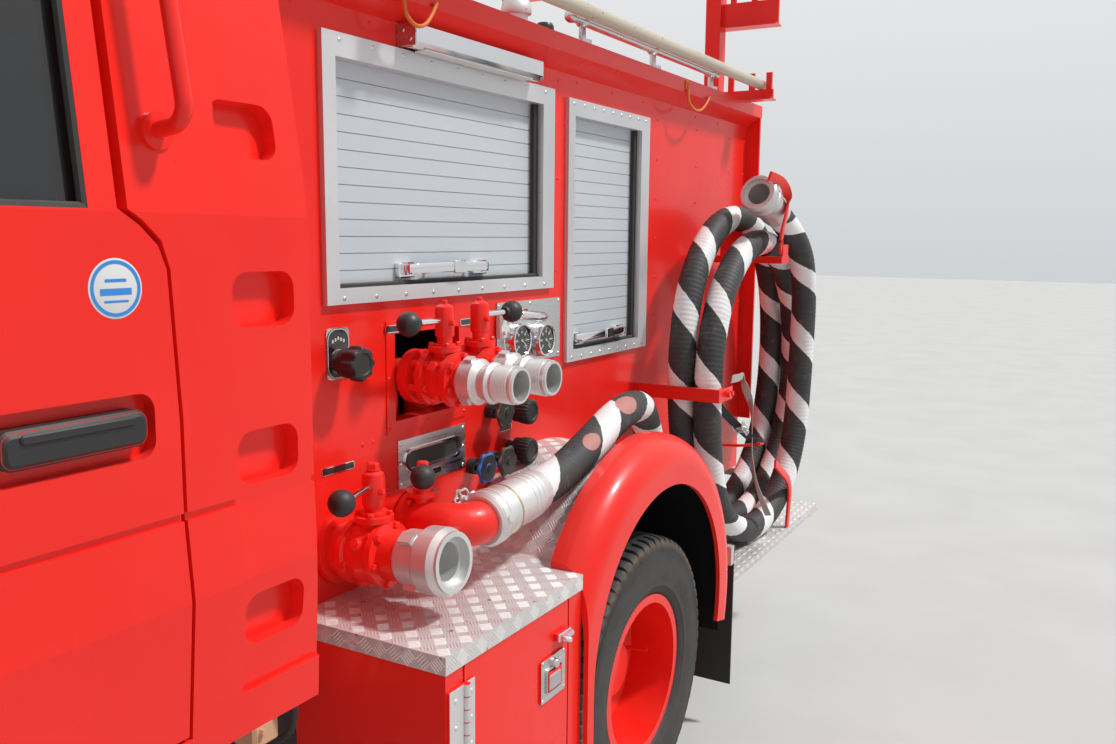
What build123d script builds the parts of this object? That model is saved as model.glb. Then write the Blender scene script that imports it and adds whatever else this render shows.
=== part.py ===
"""Light fire pump truck with a double cab, built as an assembly of separate named pieces.

Frame: x points to the front of the truck, y to its left and z up, in millimetres.
The origin is on the ground, in the middle of the truck's length and width.
"""

from build123d import *
from math import asin, cos, degrees, pi, radians, sin, sqrt, tan
import os

os.makedirs("parts", exist_ok=True)

# Driving dimensions of the whole truck
wheelbase = 2800.0
front_overhang = 1020.0
rear_overhang = 1700.0
overall_length = front_overhang + wheelbase + rear_overhang
nose_x = overall_length / 2
tail_x = -nose_x
front_axle_x = nose_x - front_overhang
rear_axle_x = front_axle_x - wheelbase
fit_gap = 0.3
door_gap = 6.0

# Wheels and tyres
tyre_radius = 377.5
tyre_width = 205.0
tyre_bead_radius = 205.0
rim_flange_radius = 220.0
rim_half_width = 84.0
rim_wall = 8.0
front_wheel_y = 735.0
rear_outer_wheel_y = 803.5
twin_pitch = 235.0
rear_inner_wheel_y = rear_outer_wheel_y - twin_pitch
twin_middle_y = (rear_outer_wheel_y + rear_inner_wheel_y) / 2
axle_z = tyre_radius

# Ladder frame
rail_y = 350.0
rail_flange = 60.0
rail_height = 160.0
rail_wall = 8.0
rail_z = 620.0
rail_front_x = nose_x - 160.0
rail_rear_x = tail_x + 80.0
rail_top_z = rail_z + rail_height / 2
rail_bottom_z = rail_z - rail_height / 2

# Cab
cab_rear_x = nose_x - 2662.0
cab_nose_x = nose_x - 60.0
cab_half_width = 855.0
cab_belt_half_width = 846.0
cab_roof_half_width = 752.0
cab_bottom_z = 800.0
cab_skirt_x = nose_x - 530.0
cab_skirt_z = 560.0
cab_band_z = 1045.0
cab_groove_z = 1158.0
cab_belt_z = 1570.0
cab_roof_z = 2250.0
cab_wall = 55.0
cab_rear_corner = 32.0
cab_skirt_half_width = 811.0
cab_front_corner = 200.0
screen_bottom_z = 1300.0
screen_top_x = nose_x - 350.0
screen_top_z = 2150.0
glass_depth = 18.0
glass_thickness = 6.0
arch_radius = 440.0

# Body with the pump room
body_front_x = cab_rear_x - 78.0
body_rear_x = tail_x + 80.0
body_half_width = 555.0
body_bottom_z = 790.0
body_top_z = 2000.0
body_wall = 40.0
cornice_y = 612.0
cornice_top_z = 2065.0
cornice_bottom_z = 2020.0
cornice_root_z = 1985.0
cornice_lip = 60.0
deck_z = body_top_z + 26.0

# Locker beside the pump room, with its checker plate
locker_front_x = body_front_x - 142.0
locker_rear_x = rear_axle_x + tyre_radius + 52.5
locker_outer_y = 925.0
locker_bottom_z = 350.0
plate_top_z = 800.0
plate_thickness = 3.0
locker_wall = 20.0
locker_top_z = plate_top_z - plate_thickness
plate_lip = 35.0

# Rear fender, an arc about a centre above the axle
arch_centre_z = 506.0
fender_inner_radius = 400.0
fender_crown_radius = 530.0
fender_wall = 12.0
fender_outer_y = 945.0
fender_inner_y = 845.0
fender_round = 78.0
deck_radius = 480.0


def box_between(x_pair, y_pair, z_pair, mode=Mode.ADD):
    """Add a box that reaches between two values on each axis."""
    size = [abs(pair[1] - pair[0]) for pair in (x_pair, y_pair, z_pair)]
    middle = [(pair[0] + pair[1]) / 2 for pair in (x_pair, y_pair, z_pair)]
    with Locations(tuple(middle)):
        Box(*size, mode=mode)


def disc_along_y(x, z, y_pair, radius, mode=Mode.ADD):
    """Add a round disc or bar whose axis lies across the truck."""
    with Locations(Plane(origin=(x, min(y_pair), z), z_dir=(0, 1, 0))):
        Cylinder(radius, abs(y_pair[1] - y_pair[0]), align=(Align.CENTER, Align.CENTER, Align.MIN), mode=mode)


def bar_along_x(y, z, x_pair, radius, mode=Mode.ADD):
    """Add a round bar whose axis runs along the truck."""
    with Locations(Plane(origin=(min(x_pair), y, z), z_dir=(1, 0, 0))):
        Cylinder(radius, abs(x_pair[1] - x_pair[0]), align=(Align.CENTER, Align.CENTER, Align.MIN), mode=mode)


def post_along_z(x, y, z_pair, radius, mode=Mode.ADD):
    """Add an upright round bar."""
    with Locations((x, y, min(z_pair))):
        Cylinder(radius, abs(z_pair[1] - z_pair[0]), align=(Align.CENTER, Align.CENTER, Align.MIN), mode=mode)


def finish(builder, name):
    """Label a finished piece and write it to its own file."""
    builder.part.label = name
    export_step(builder.part, f"parts/{name}.step")


def both_sides(builder):
    """Add the mirror image of everything in the builder, across the truck's middle plane."""
    add(mirror(builder.part, about=Plane.XZ, mode=Mode.PRIVATE))


def mirrored(part):
    """The same piece on the other side of the truck."""
    return mirror(part, about=Plane.XZ, mode=Mode.PRIVATE)


# Ladder frame: two channel rails, open inwards, and tubes between them
cross_tube_radius = 45.0
cross_tube_xs = (nose_x - 260.0, nose_x - 2310.0, rear_axle_x + 300.0, rear_axle_x - 440.0, tail_x + 460.0)

with BuildPart() as frame_rails:
    with BuildSketch(Plane.YZ.offset(rail_rear_x)):
        with Locations((rail_y, rail_z)):
            Rectangle(rail_flange, rail_height)
        with Locations((rail_y - rail_wall, rail_z)):
            Rectangle(rail_flange, rail_height - 2 * rail_wall, mode=Mode.SUBTRACT)
    extrude(amount=rail_front_x - rail_rear_x)
    both_sides(frame_rails)
    rail_web_y = rail_y + rail_flange / 2 - rail_wall
    for tube_x in cross_tube_xs:
        disc_along_y(tube_x, rail_z, (-rail_web_y, rail_web_y), cross_tube_radius)
finish(frame_rails, "frame_rails")

# Front axle: a dropped beam whose ends carry the king pins
kingpin_y = 600.0
beam_half_depth = 42.0
kingpin_boss_radius = 36.0
kingpin_radius = 16.0
kingpin_clearance = 0.4
boss_half_height = 42.0

with BuildPart() as front_axle:
    with BuildSketch(Plane.YZ.offset(front_axle_x - beam_half_depth)):
        with BuildLine():
            Polyline(
                (-kingpin_y, axle_z + 28),
                (-kingpin_y, axle_z - 28),
                (-520, axle_z - 30),
                (-430, axle_z - 85),
                (430, axle_z - 85),
                (520, axle_z - 30),
                (kingpin_y, axle_z - 28),
                (kingpin_y, axle_z + 28),
                (510, axle_z + 26),
                (420, axle_z - 15),
                (-420, axle_z - 15),
                (-510, axle_z + 26),
                close=True,
            )
        make_face()
    extrude(amount=2 * beam_half_depth)
    for side in (1, -1):
        boss_span = (axle_z - boss_half_height, axle_z + boss_half_height)
        post_along_z(front_axle_x, side * kingpin_y, boss_span, kingpin_boss_radius)
        bore_radius = kingpin_radius + kingpin_clearance
        post_along_z(front_axle_x, side * kingpin_y, boss_span, bore_radius, Mode.SUBTRACT)
finish(front_axle, "front_axle")

# Steering knuckles: a fork round the beam's end, with the king pin and the wheel's spindle
fork_thickness = 22.0
fork_gap = 5.0
spindle_radius = 28.0
spindle_clearance = 0.4
spindle_end_y = 770.0
fork_outer_y = 662.0

with BuildPart() as knuckle_left:
    fork_bottom = axle_z - boss_half_height - fork_gap
    fork_top = axle_z + boss_half_height + fork_gap
    fork_reach = kingpin_boss_radius
    for fork_z in (fork_bottom - fork_thickness, fork_top):
        fork_x = (front_axle_x - fork_reach, front_axle_x + fork_reach)
        box_between(fork_x, (kingpin_y, fork_outer_y), (fork_z, fork_z + fork_thickness))
        post_along_z(front_axle_x, kingpin_y, (fork_z, fork_z + fork_thickness), fork_reach)
    back_y = (kingpin_y + kingpin_boss_radius + fork_gap, fork_outer_y)
    box_between(fork_x, back_y, (fork_bottom - fork_thickness, fork_top + fork_thickness))
    post_along_z(front_axle_x, kingpin_y, (fork_bottom, fork_top), kingpin_radius)
    disc_along_y(front_axle_x, axle_z, (fork_outer_y, spindle_end_y), spindle_radius)
finish(knuckle_left, "knuckle_left")

with BuildPart() as knuckle_right:
    add(mirrored(knuckle_left.part))
finish(knuckle_right, "knuckle_right")

# Tyres: one ring profile, radius against distance from the wheel's middle plane
tread_half_width = 84.0
shoulder_radius = tyre_radius - 12.0
bulge_radius = 290.0
bead_half_width = rim_half_width - rim_wall - fit_gap
flange_seat = rim_flange_radius + fit_gap


def tyre_ring(wheel_x, wheel_y):
    """Add one tyre, turned about its wheel's axis."""
    half = tyre_width / 2
    with BuildSketch(Plane(origin=(wheel_x, wheel_y, axle_z), x_dir=(0, 0, 1), z_dir=(-1, 0, 0))) as ring:
        with BuildLine():
            right = Polyline(
                (tyre_bead_radius, -bead_half_width),
                (tyre_bead_radius, bead_half_width),
                (flange_seat + 6, bead_half_width),
            )
            wall_up = ThreePointArc(right @ 1, (bulge_radius, half), (shoulder_radius, tread_half_width + 8))
            tread = Polyline(
                wall_up @ 1,
                (tyre_radius, tread_half_width - 10),
                (tyre_radius, -(tread_half_width - 10)),
                (shoulder_radius, -(tread_half_width + 8)),
            )
            wall_down = ThreePointArc(tread @ 1, (bulge_radius, -half), (flange_seat + 6, -bead_half_width))
            Line(wall_down @ 1, right @ 0)
        make_face()
    revolve(ring.sketch, axis=Axis((wheel_x, 0, axle_z), (0, 1, 0)))


def turned_profile(wheel_x, points):
    """Turn a closed outline of (radius, y) points about a wheel's axis."""
    with BuildSketch(Plane(origin=(wheel_x, 0, axle_z), x_dir=(0, 0, 1), z_dir=(-1, 0, 0))) as profile:
        with BuildLine():
            Polyline(*points, close=True)
        make_face()
    revolve(profile.sketch, axis=Axis((wheel_x, 0, axle_z), (0, 1, 0)))


with BuildPart() as tyre_front_left:
    tyre_ring(front_axle_x, front_wheel_y)
finish(tyre_front_left, "tyre_front_left")

with BuildPart() as tyre_front_right:
    add(mirrored(tyre_front_left.part))
finish(tyre_front_right, "tyre_front_right")

with BuildPart() as tyres_rear_left:
    tyre_ring(rear_axle_x, rear_outer_wheel_y)
    tyre_ring(rear_axle_x, rear_inner_wheel_y)
finish(tyres_rear_left, "tyres_rear_left")

with BuildPart() as tyres_rear_right:
    add(mirrored(tyres_rear_left.part))
finish(tyres_rear_right, "tyres_rear_right")

# Wheels: a rolled barrel with flanges, a pressed disc with hand holes, a drum and a hub
barrel_radius = tyre_bead_radius - fit_gap
drum_radius = 165.0
drum_wall = 15.0
hub_radius = 62.0
hand_hole_radius = 19.0
hand_hole_pitch_radius = 142.0
hand_hole_count = 8
wheel_nut_radius = 13.0
wheel_nut_pitch_radius = 90.0
wheel_nut_count = 6
spindle_bore_radius = spindle_radius + spindle_clearance


def barrel_points(wheel_y):
    """Outline of a rim's barrel and flanges round its middle plane."""
    outer = rim_half_width
    return [
        (barrel_radius, wheel_y - outer + rim_wall),
        (barrel_radius, wheel_y + outer - rim_wall),
        (rim_flange_radius, wheel_y + outer - rim_wall),
        (rim_flange_radius, wheel_y + outer),
        (barrel_radius - rim_wall, wheel_y + outer),
        (barrel_radius - rim_wall, wheel_y - outer),
        (rim_flange_radius, wheel_y - outer),
        (rim_flange_radius, wheel_y - outer + rim_wall),
    ]


with BuildPart() as wheel_front_left:
    turned_profile(front_axle_x, barrel_points(front_wheel_y))
    disc_y = front_wheel_y + 45.0
    disc_points = [
        (spindle_bore_radius, disc_y),
        (spindle_bore_radius, disc_y - 20),
        (110, disc_y - 20),
        (150, disc_y - 8),
        (barrel_radius - rim_wall, disc_y - 34),
        (barrel_radius - rim_wall, disc_y - 22),
        (158, disc_y + 8),
        (112, disc_y - 6),
        (80, disc_y),
    ]
    turned_profile(front_axle_x, disc_points)
    hub_y = fork_outer_y + fork_gap
    hub_points = [
        (spindle_bore_radius, hub_y),
        (hub_radius, hub_y),
        (hub_radius, disc_y + 42),
        (hub_radius - 12, disc_y + 54),
        (0, disc_y + 54),
        (0, spindle_end_y + fork_gap),
        (spindle_bore_radius, spindle_end_y + fork_gap),
    ]
    turned_profile(front_axle_x, hub_points)
    drum_points = [
        (hub_radius - 5, disc_y - 40),
        (drum_radius, disc_y - 40),
        (drum_radius, front_wheel_y - rim_half_width + 6),
        (drum_radius - drum_wall, front_wheel_y - rim_half_width + 6),
        (drum_radius - drum_wall, disc_y - 52),
        (hub_radius - 5, disc_y - 52),
    ]
    turned_profile(front_axle_x, drum_points)
    wheel_face = Plane(origin=(front_axle_x, disc_y - 60, axle_z), z_dir=(0, 1, 0))
    with BuildSketch(wheel_face):
        with PolarLocations(hand_hole_pitch_radius, hand_hole_count):
            Circle(hand_hole_radius)
    extrude(amount=90, mode=Mode.SUBTRACT)
    with BuildSketch(Plane(origin=(front_axle_x, disc_y - 10, axle_z), z_dir=(0, 1, 0))):
        with PolarLocations(wheel_nut_pitch_radius, wheel_nut_count):
            RegularPolygon(wheel_nut_radius, 6)
    extrude(amount=26)
finish(wheel_front_left, "wheel_front_left")

with BuildPart() as wheel_front_right:
    add(mirrored(wheel_front_left.part))
finish(wheel_front_right, "wheel_front_right")

# Rear axle: a tube with the round case of the bevel gears, brake plates and spindle ends
axle_tube_radius = 58.0
axle_case_radius = 165.0
axle_end_y = twin_middle_y - 20.0
brake_plate_y = 455.0
axle_bore_radius = axle_tube_radius + spindle_clearance

with BuildPart() as rear_axle:
    disc_along_y(rear_axle_x, axle_z, (-axle_end_y, axle_end_y), axle_tube_radius)
    with BuildSketch(Plane(origin=(rear_axle_x, 0, axle_z), x_dir=(0, 0, 1), z_dir=(-1, 0, 0))):
        with BuildLine():
            Polyline((0, 190), (70, 190), (axle_case_radius, 70), (axle_case_radius, -70), (70, -190), (0, -190), close=True)
        make_face()
    revolve(axis=Axis((rear_axle_x, 0, axle_z), (0, 1, 0)))
    nose_tube = (rear_axle_x + 120, rear_axle_x + 300)
    bar_along_x(0, axle_z, nose_tube, 75)
    for side in (1, -1):
        plate_span = (side * brake_plate_y, side * (brake_plate_y + 8))
        disc_along_y(rear_axle_x, axle_z, plate_span, drum_radius)
finish(rear_axle, "rear_axle")

with BuildPart() as wheels_rear_left:
    turned_profile(rear_axle_x, barrel_points(rear_outer_wheel_y))
    turned_profile(rear_axle_x, barrel_points(rear_inner_wheel_y))
    for sign in (1, -1):
        web_points = [
            (hub_radius - 8, twin_middle_y),
            (108, twin_middle_y),
            (barrel_radius - rim_wall, twin_middle_y + sign * 52),
            (barrel_radius - rim_wall, twin_middle_y + sign * 68),
            (108, twin_middle_y + sign * 12),
            (hub_radius - 8, twin_middle_y + sign * 12),
        ]
        turned_profile(rear_axle_x, web_points)
    rear_hub_points = [
        (0, twin_middle_y - 10),
        (axle_bore_radius, twin_middle_y - 10),
        (axle_bore_radius, brake_plate_y + 60),
        (axle_bore_radius + 22, brake_plate_y + 60),
        (axle_bore_radius + 22, twin_middle_y + 20),
        (82, twin_middle_y + 95),
        (70, twin_middle_y + 118),
        (0, twin_middle_y + 118),
    ]
    turned_profile(rear_axle_x, rear_hub_points)
    rear_drum_points = [
        (axle_bore_radius + 10, twin_middle_y - 12),
        (drum_radius, twin_middle_y - 12),
        (drum_radius, brake_plate_y + 14),
        (drum_radius - drum_wall, brake_plate_y + 14),
        (drum_radius - drum_wall, twin_middle_y - 28),
        (axle_bore_radius + 10, twin_middle_y - 28),
    ]
    turned_profile(rear_axle_x, rear_drum_points)
    with BuildSketch(Plane(origin=(rear_axle_x, twin_middle_y - 9, axle_z), z_dir=(0, 1, 0))):
        with PolarLocations(hand_hole_pitch_radius + 10, hand_hole_count):
            Circle(hand_hole_radius)
    extrude(amount=100, mode=Mode.SUBTRACT)
    with BuildSketch(Plane(origin=(rear_axle_x, twin_middle_y + 10, axle_z), z_dir=(0, 1, 0))):
        with PolarLocations(wheel_nut_pitch_radius + 6, wheel_nut_count):
            RegularPolygon(wheel_nut_radius, 6)
    extrude(amount=30)
finish(wheels_rear_left, "wheels_rear_left")

with BuildPart() as wheels_rear_right:
    add(mirrored(wheels_rear_left.part))
finish(wheels_rear_right, "wheels_rear_right")

# Leaf springs: one pack at each wheel, hung from the rails by an eye and its hanger at each end
spring_width = 60.0
spring_half_length = 520.0
spring_thickness = 46.0
spring_tip_thickness = 12.0
spring_rise = 70.0
eye_radius = 20.0
# columns: axle x, height of the axle's top face
spring_seats = ((front_axle_x, axle_z - 15.0), (rear_axle_x, axle_z + axle_tube_radius))

with BuildPart() as leaf_springs:
    for seat_x, seat_z in spring_seats:
        eye_z = seat_z + spring_rise
        with BuildSketch(Plane.XZ.offset(-(rail_y + spring_width / 2))):
            with BuildLine():
                lower = ThreePointArc(
                    (seat_x - spring_half_length, eye_z),
                    (seat_x, seat_z),
                    (seat_x + spring_half_length, eye_z),
                )
                Line(lower @ 1, lower @ 1 + Vector(0, spring_tip_thickness))
                upper = ThreePointArc(
                    lower @ 1 + Vector(0, spring_tip_thickness),
                    (seat_x, seat_z + spring_thickness),
                    lower @ 0 + Vector(0, spring_tip_thickness),
                )
                Line(upper @ 1, lower @ 0)
            make_face()
        extrude(amount=spring_width)
        spring_y = (rail_y - spring_width / 2, rail_y + spring_width / 2)
        for end in (-1, 1):
            eye_x = seat_x + end * spring_half_length
            disc_along_y(eye_x, eye_z + spring_tip_thickness / 2, spring_y, eye_radius)
            box_between((eye_x - 14, eye_x + 14), spring_y, (eye_z, rail_bottom_z))
    both_sides(leaf_springs)
finish(leaf_springs, "leaf_springs")

# Engine: one plain block between the rails, on two mounts
engine_x = (nose_x - 1310.0, nose_x - 560.0)
engine_y = 250.0
engine_z = (440.0, 780.0)

with BuildPart() as engine_form:
    box_between(engine_x, (-engine_y, engine_y), engine_z)
    mount_x = (engine_x[0] + 300, engine_x[0] + 400)
    box_between(mount_x, (-rail_web_y, rail_web_y), (rail_z - 20, rail_z + 20))

# Gearbox and propeller shaft
gearbox_rear_x = nose_x - 1710.0
shaft_radius = 38.0
gearbox_z = 590.0
shaft_end_gap = 5.0
gearbox_mount_x = gearbox_rear_x + 60.0

with BuildPart() as power_train:
    add(engine_form.part)
    with BuildSketch(Plane.YZ.offset(gearbox_rear_x)) as small_end:
        with Locations((0, gearbox_z)):
            RectangleRounded(170, 170, 30)
    with BuildSketch(Plane.YZ.offset(engine_x[0])) as big_end:
        with Locations((0, gearbox_z + 20)):
            RectangleRounded(340, 320, 60)
    loft()
    shaft_start = Vector(gearbox_rear_x, 0, gearbox_z)
    shaft_end = Vector(nose_tube[1] + shaft_end_gap, 0, axle_z)
    shaft_run = shaft_end - shaft_start
    with Locations(Plane(origin=shaft_start, z_dir=shaft_run)):
        Cylinder(shaft_radius, shaft_run.length, align=(Align.CENTER, Align.CENTER, Align.MIN))
    mount_x = (gearbox_mount_x - 30, gearbox_mount_x + 30)
    box_between(mount_x, (-rail_web_y, rail_web_y), (gearbox_z + 40, gearbox_z + 62))
finish(power_train, "power_train")

# Fuel tank on the right under the cab, hung from the rail by two brackets
tank_x = (nose_x - 2460.0, nose_x - 1710.0)
tank_y = (-760.0, -440.0)
tank_z = (440.0, 730.0)
tank_round = 45.0

with BuildPart() as fuel_tank:
    with BuildSketch(Plane.YZ.offset(tank_x[0])):
        with Locations(((tank_y[0] + tank_y[1]) / 2, (tank_z[0] + tank_z[1]) / 2)):
            RectangleRounded(tank_y[1] - tank_y[0], tank_z[1] - tank_z[0], tank_round)
    extrude(amount=tank_x[1] - tank_x[0])
    for bracket_x in (tank_x[0] + 150, tank_x[1] - 150):
        bracket_y = (tank_y[1] - 20, -(rail_y + rail_flange / 2))
        box_between((bracket_x - 25, bracket_x + 25), bracket_y, (rail_z - 60, rail_z + 60))
finish(fuel_tank, "fuel_tank")


def drawn_in(points, inset):
    """Corner points of a closed outline, which runs counter-clockwise, moved inwards by inset."""
    moved = []
    for index, here in enumerate(points):
        before = points[index - 1]
        after = points[(index + 1) % len(points)]
        first = Vector(here[0] - before[0], here[1] - before[1]).normalized()
        second = Vector(after[0] - here[0], after[1] - here[1]).normalized()
        both = Vector(-first.Y - second.Y, first.X + second.X)
        share = inset / (1 + first.X * second.X + first.Y * second.Y)
        moved.append((here[0] + both.X * share, here[1] + both.Y * share))
    return moved


def rounded_outline(points, radii):
    """Draw a closed outline whose corners are rounded by the given radii."""
    trims = []
    for index, here in enumerate(points):
        before = points[index - 1]
        after = points[(index + 1) % len(points)]
        corner = Vector(here[0], here[1])
        back = Vector(before[0] - here[0], before[1] - here[1]).normalized()
        ahead = Vector(after[0] - here[0], after[1] - here[1]).normalized()
        half_angle = radians(back.get_angle(ahead)) / 2
        if radii[index] < 1:
            trims.append((corner, corner, corner))
            continue
        reach = radii[index] / tan(half_angle)
        depth = radii[index] / sin(half_angle) - radii[index]
        inward = (back + ahead).normalized()
        trims.append((corner + back * reach, corner + inward * depth, corner + ahead * reach))
    for index, (entry, middle, leave) in enumerate(trims):
        if (leave - entry).length > 0.01:
            ThreePointArc(entry, middle, leave)
        Line(leave, trims[(index + 1) % len(trims)][0])


# Cab: the solid between a front view, a side view and a plan, each drawn in by the same inset
# columns of each view: horizontal place, vertical place, corner radius
roof_lean = 0.16
roof_rounding = 130.0
cab_top_half = cab_belt_half_width - (cab_roof_z - cab_belt_z) * roof_lean
cab_front_view = (
    (-cab_skirt_half_width, cab_skirt_z, 0),
    (cab_skirt_half_width, cab_skirt_z, 0),
    (cab_half_width, cab_band_z, 0),
    (cab_belt_half_width, cab_groove_z, 0),
    (cab_belt_half_width, cab_belt_z, 0),
    (cab_top_half, cab_roof_z, roof_rounding),
    (-cab_top_half, cab_roof_z, roof_rounding),
    (-cab_belt_half_width, cab_belt_z, 0),
    (-cab_belt_half_width, cab_groove_z, 0),
    (-cab_half_width, cab_band_z, 0),
)
cab_side_view = (
    (cab_rear_x, cab_bottom_z, 0),
    (cab_skirt_x, cab_bottom_z, 0),
    (cab_skirt_x, cab_skirt_z, 0),
    (cab_nose_x - 12, cab_skirt_z, 0),
    (cab_nose_x, cab_skirt_z + 300, 0),
    (cab_nose_x, screen_bottom_z - 60, 0),
    (cab_nose_x - 22, screen_bottom_z, 0),
    (screen_top_x - 30, cab_roof_z, roof_rounding),
    (cab_rear_x, cab_roof_z, roof_rounding),
)
cab_plan_view = (
    (cab_rear_x, -cab_half_width, cab_rear_corner),
    (cab_nose_x, -cab_half_width, cab_front_corner),
    (cab_nose_x, cab_half_width, cab_front_corner),
    (cab_rear_x, cab_half_width, cab_rear_corner),
)


def view_prism(plane, view, inset, amount, mode):
    """Carry one of the cab's views, drawn in by inset, through the cab."""
    corners = drawn_in([(first, second) for first, second, radius in view], inset)
    radii = [radius - inset if radius else 0 for first, second, radius in view]
    with BuildSketch(plane) as outline:
        with BuildLine():
            rounded_outline(corners, radii)
        make_face()
    extrude(outline.sketch, amount=amount, mode=mode)


def cab_solid(inset):
    """The cab's outer form, or the form that lies inset below its skin."""
    with BuildPart() as form:
        view_prism(Plane.YZ, cab_front_view, inset, overall_length, Mode.ADD)
        view_prism(Plane.XZ.offset(-2000), cab_side_view, inset, 4000, Mode.INTERSECT)
        view_prism(Plane.XY, cab_plan_view, inset, 3000, Mode.INTERSECT)
    return form.part


cab_outer = cab_solid(0)
cab_inner = cab_solid(cab_wall)

# Door outlines, seen from the side: columns are name, rear edge, front edge at the sill, front edge at the top
door_bottom_z = 845.0
door_top_z = 2130.0
frame_rear_inset = 78.0
frame_rear_lean = 24.0
window_rail = 62.0
window_rear_rail = 39.0
window_sill_z = cab_belt_z + 3.0
handle_z = 1298.0
door_hinge_clear = 4.0
door_sill_y = cab_skirt_half_width - cab_wall + 20.0
door_rows = (
    ("rear", nose_x - 2403.0, nose_x - 1430.0, nose_x - 1442.0),
    ("front", nose_x - 1360.0, nose_x - 280.0, nose_x - 435.0),
)


def door_outline(rear_x, front_x, top_front_x, grow):
    """Corner points of a door seen from the side, moved outwards by grow."""
    frame_rear_x = rear_x + frame_rear_inset - (grow * 2.5 if grow else 0)
    low = door_bottom_z - grow
    return [
        (rear_x - grow, low),
        (front_x + grow, low),
        (front_x + grow, cab_belt_z + 40),
        (top_front_x + grow, door_top_z + grow),
        (frame_rear_x + 8 - frame_rear_lean, door_top_z + grow),
        (frame_rear_x, cab_belt_z + 4),
        (rear_x + 48 - grow, cab_belt_z - 16 + grow),
        (rear_x + 22 - grow, cab_belt_z - 41 + grow),
        (rear_x + 10 - grow, cab_belt_z - 72),
        (rear_x - grow, handle_z),
    ]


def window_outline(rear_x, front_x, top_front_x, grow):
    """Corner points of a door's window, moved outwards by grow."""
    frame_rear_x = rear_x + frame_rear_inset
    return [
        (frame_rear_x + window_rear_rail - grow, window_sill_z - grow),
        (front_x - window_rail + grow, window_sill_z - grow),
        (front_x - window_rail + grow, cab_belt_z + 30),
        (top_front_x - window_rail + grow, door_top_z - window_rail + grow),
        (frame_rear_x + window_rear_rail + 8 - frame_rear_lean - grow, door_top_z - window_rail + grow),
    ]


def side_prism(points, y_near, y_far, mode):
    """Carry a side-view outline across the truck from one y to another."""
    with BuildSketch(Plane.XZ.offset(-y_far)) as outline:
        with BuildLine():
            Polyline(*points, close=True)
        make_face()
    extrude(outline.sketch, amount=y_far - y_near, mode=mode)


# Door hinges: a pin on the pillar's leaf stands in the barrel of the door's leaf
hinge_pin_y = cab_half_width + 2.0
barrel_outer_radius = 8.0
hinge_pin_radius = 4.0
leaf_height = 30.0
leaf_width = 34.0
leaf_y = (cab_belt_half_width - 6.0, cab_half_width)
door_hinge_zs = (880.0, 1440.0)


def pillar_hinge(axis_x, low_z):
    """Add the pillar's leaf, its barrel and the pin to the left side, and the same to the right."""
    for side in (1, -1):
        leaf_span = (axis_x, axis_x + leaf_width)
        box_between(leaf_span, tuple(sorted((side * leaf_y[0], side * leaf_y[1]))), (low_z, low_z + leaf_height))
        post_along_z(axis_x, side * hinge_pin_y, (low_z, low_z + leaf_height), barrel_outer_radius)
        post_along_z(axis_x, side * hinge_pin_y, (low_z, low_z + 2 * leaf_height), hinge_pin_radius)


def door_hinge(axis_x, low_z):
    """Add the left door's leaf and its barrel, bored for the pin."""
    barrel_z = (low_z + leaf_height + fit_gap, low_z + 2 * leaf_height)
    box_between((axis_x - leaf_width, axis_x), leaf_y, barrel_z)
    post_along_z(axis_x, hinge_pin_y, barrel_z, barrel_outer_radius)
    post_along_z(axis_x, hinge_pin_y, (barrel_z[0] - 1, barrel_z[1] + 1), hinge_pin_radius + fit_gap, Mode.SUBTRACT)


pocket_width = 118.0
pocket_height = 80.0
pocket_depth = 26.0
pocket_round = 26.0
# columns: distance in front of the cab's rear face, height
pocket_places = ((95.0, 976.0), (95.0, 1220.0), (95.0, 1450.0), (107.0, 1690.0))
corner_panel_length = 164.0
corner_panel_step = 9.0
corner_panel_z = (870.0, 1930.0)
groove_depth = 6.0
groove_height = 11.0
screen_half_width = 690.0
screen_margin = 70.0

# Band round the cab at groove height, as deep as the groove
with BuildPart() as groove_band:
    add(cab_outer)
    add(cab_solid(groove_depth), mode=Mode.SUBTRACT)
    groove_z = (cab_groove_z, cab_groove_z + groove_height)
    box_between((cab_rear_x - 10, cab_nose_x - 420), (-1000, 1000), groove_z, Mode.INTERSECT)


# Corner panels behind the crew doors, set in a little from the cab's side
with BuildPart() as corner_panels:
    add(cab_outer)
    panel_x = (cab_rear_x - 10, cab_rear_x + corner_panel_length)
    box_between(panel_x, (-1000, 1000), corner_panel_z, Mode.INTERSECT)
    view_prism(Plane.YZ, cab_front_view, corner_panel_step, overall_length, Mode.SUBTRACT)


def screen_points(shrink):
    """Corner points of the windscreen seen from the front."""
    low = screen_bottom_z + 45 + shrink
    high = screen_top_z - 45 - shrink
    return [
        (-(screen_half_width + 20 - shrink), low),
        (screen_half_width + 20 - shrink, low),
        (screen_half_width - 45 - shrink, high),
        (-(screen_half_width - 45 - shrink), high),
    ]


def front_prism(points, x_low, x_high, mode):
    """Carry a front-view outline along the truck."""
    with BuildSketch(Plane.YZ.offset(x_low)) as outline:
        with BuildLine():
            Polyline(*points, close=True)
        make_face()
        fillet(outline.vertices(), 55)
    extrude(outline.sketch, amount=x_high - x_low, mode=mode)


rear_window = [(-430, 1480), (430, 1480), (400, 1950), (-400, 1950)]

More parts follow.
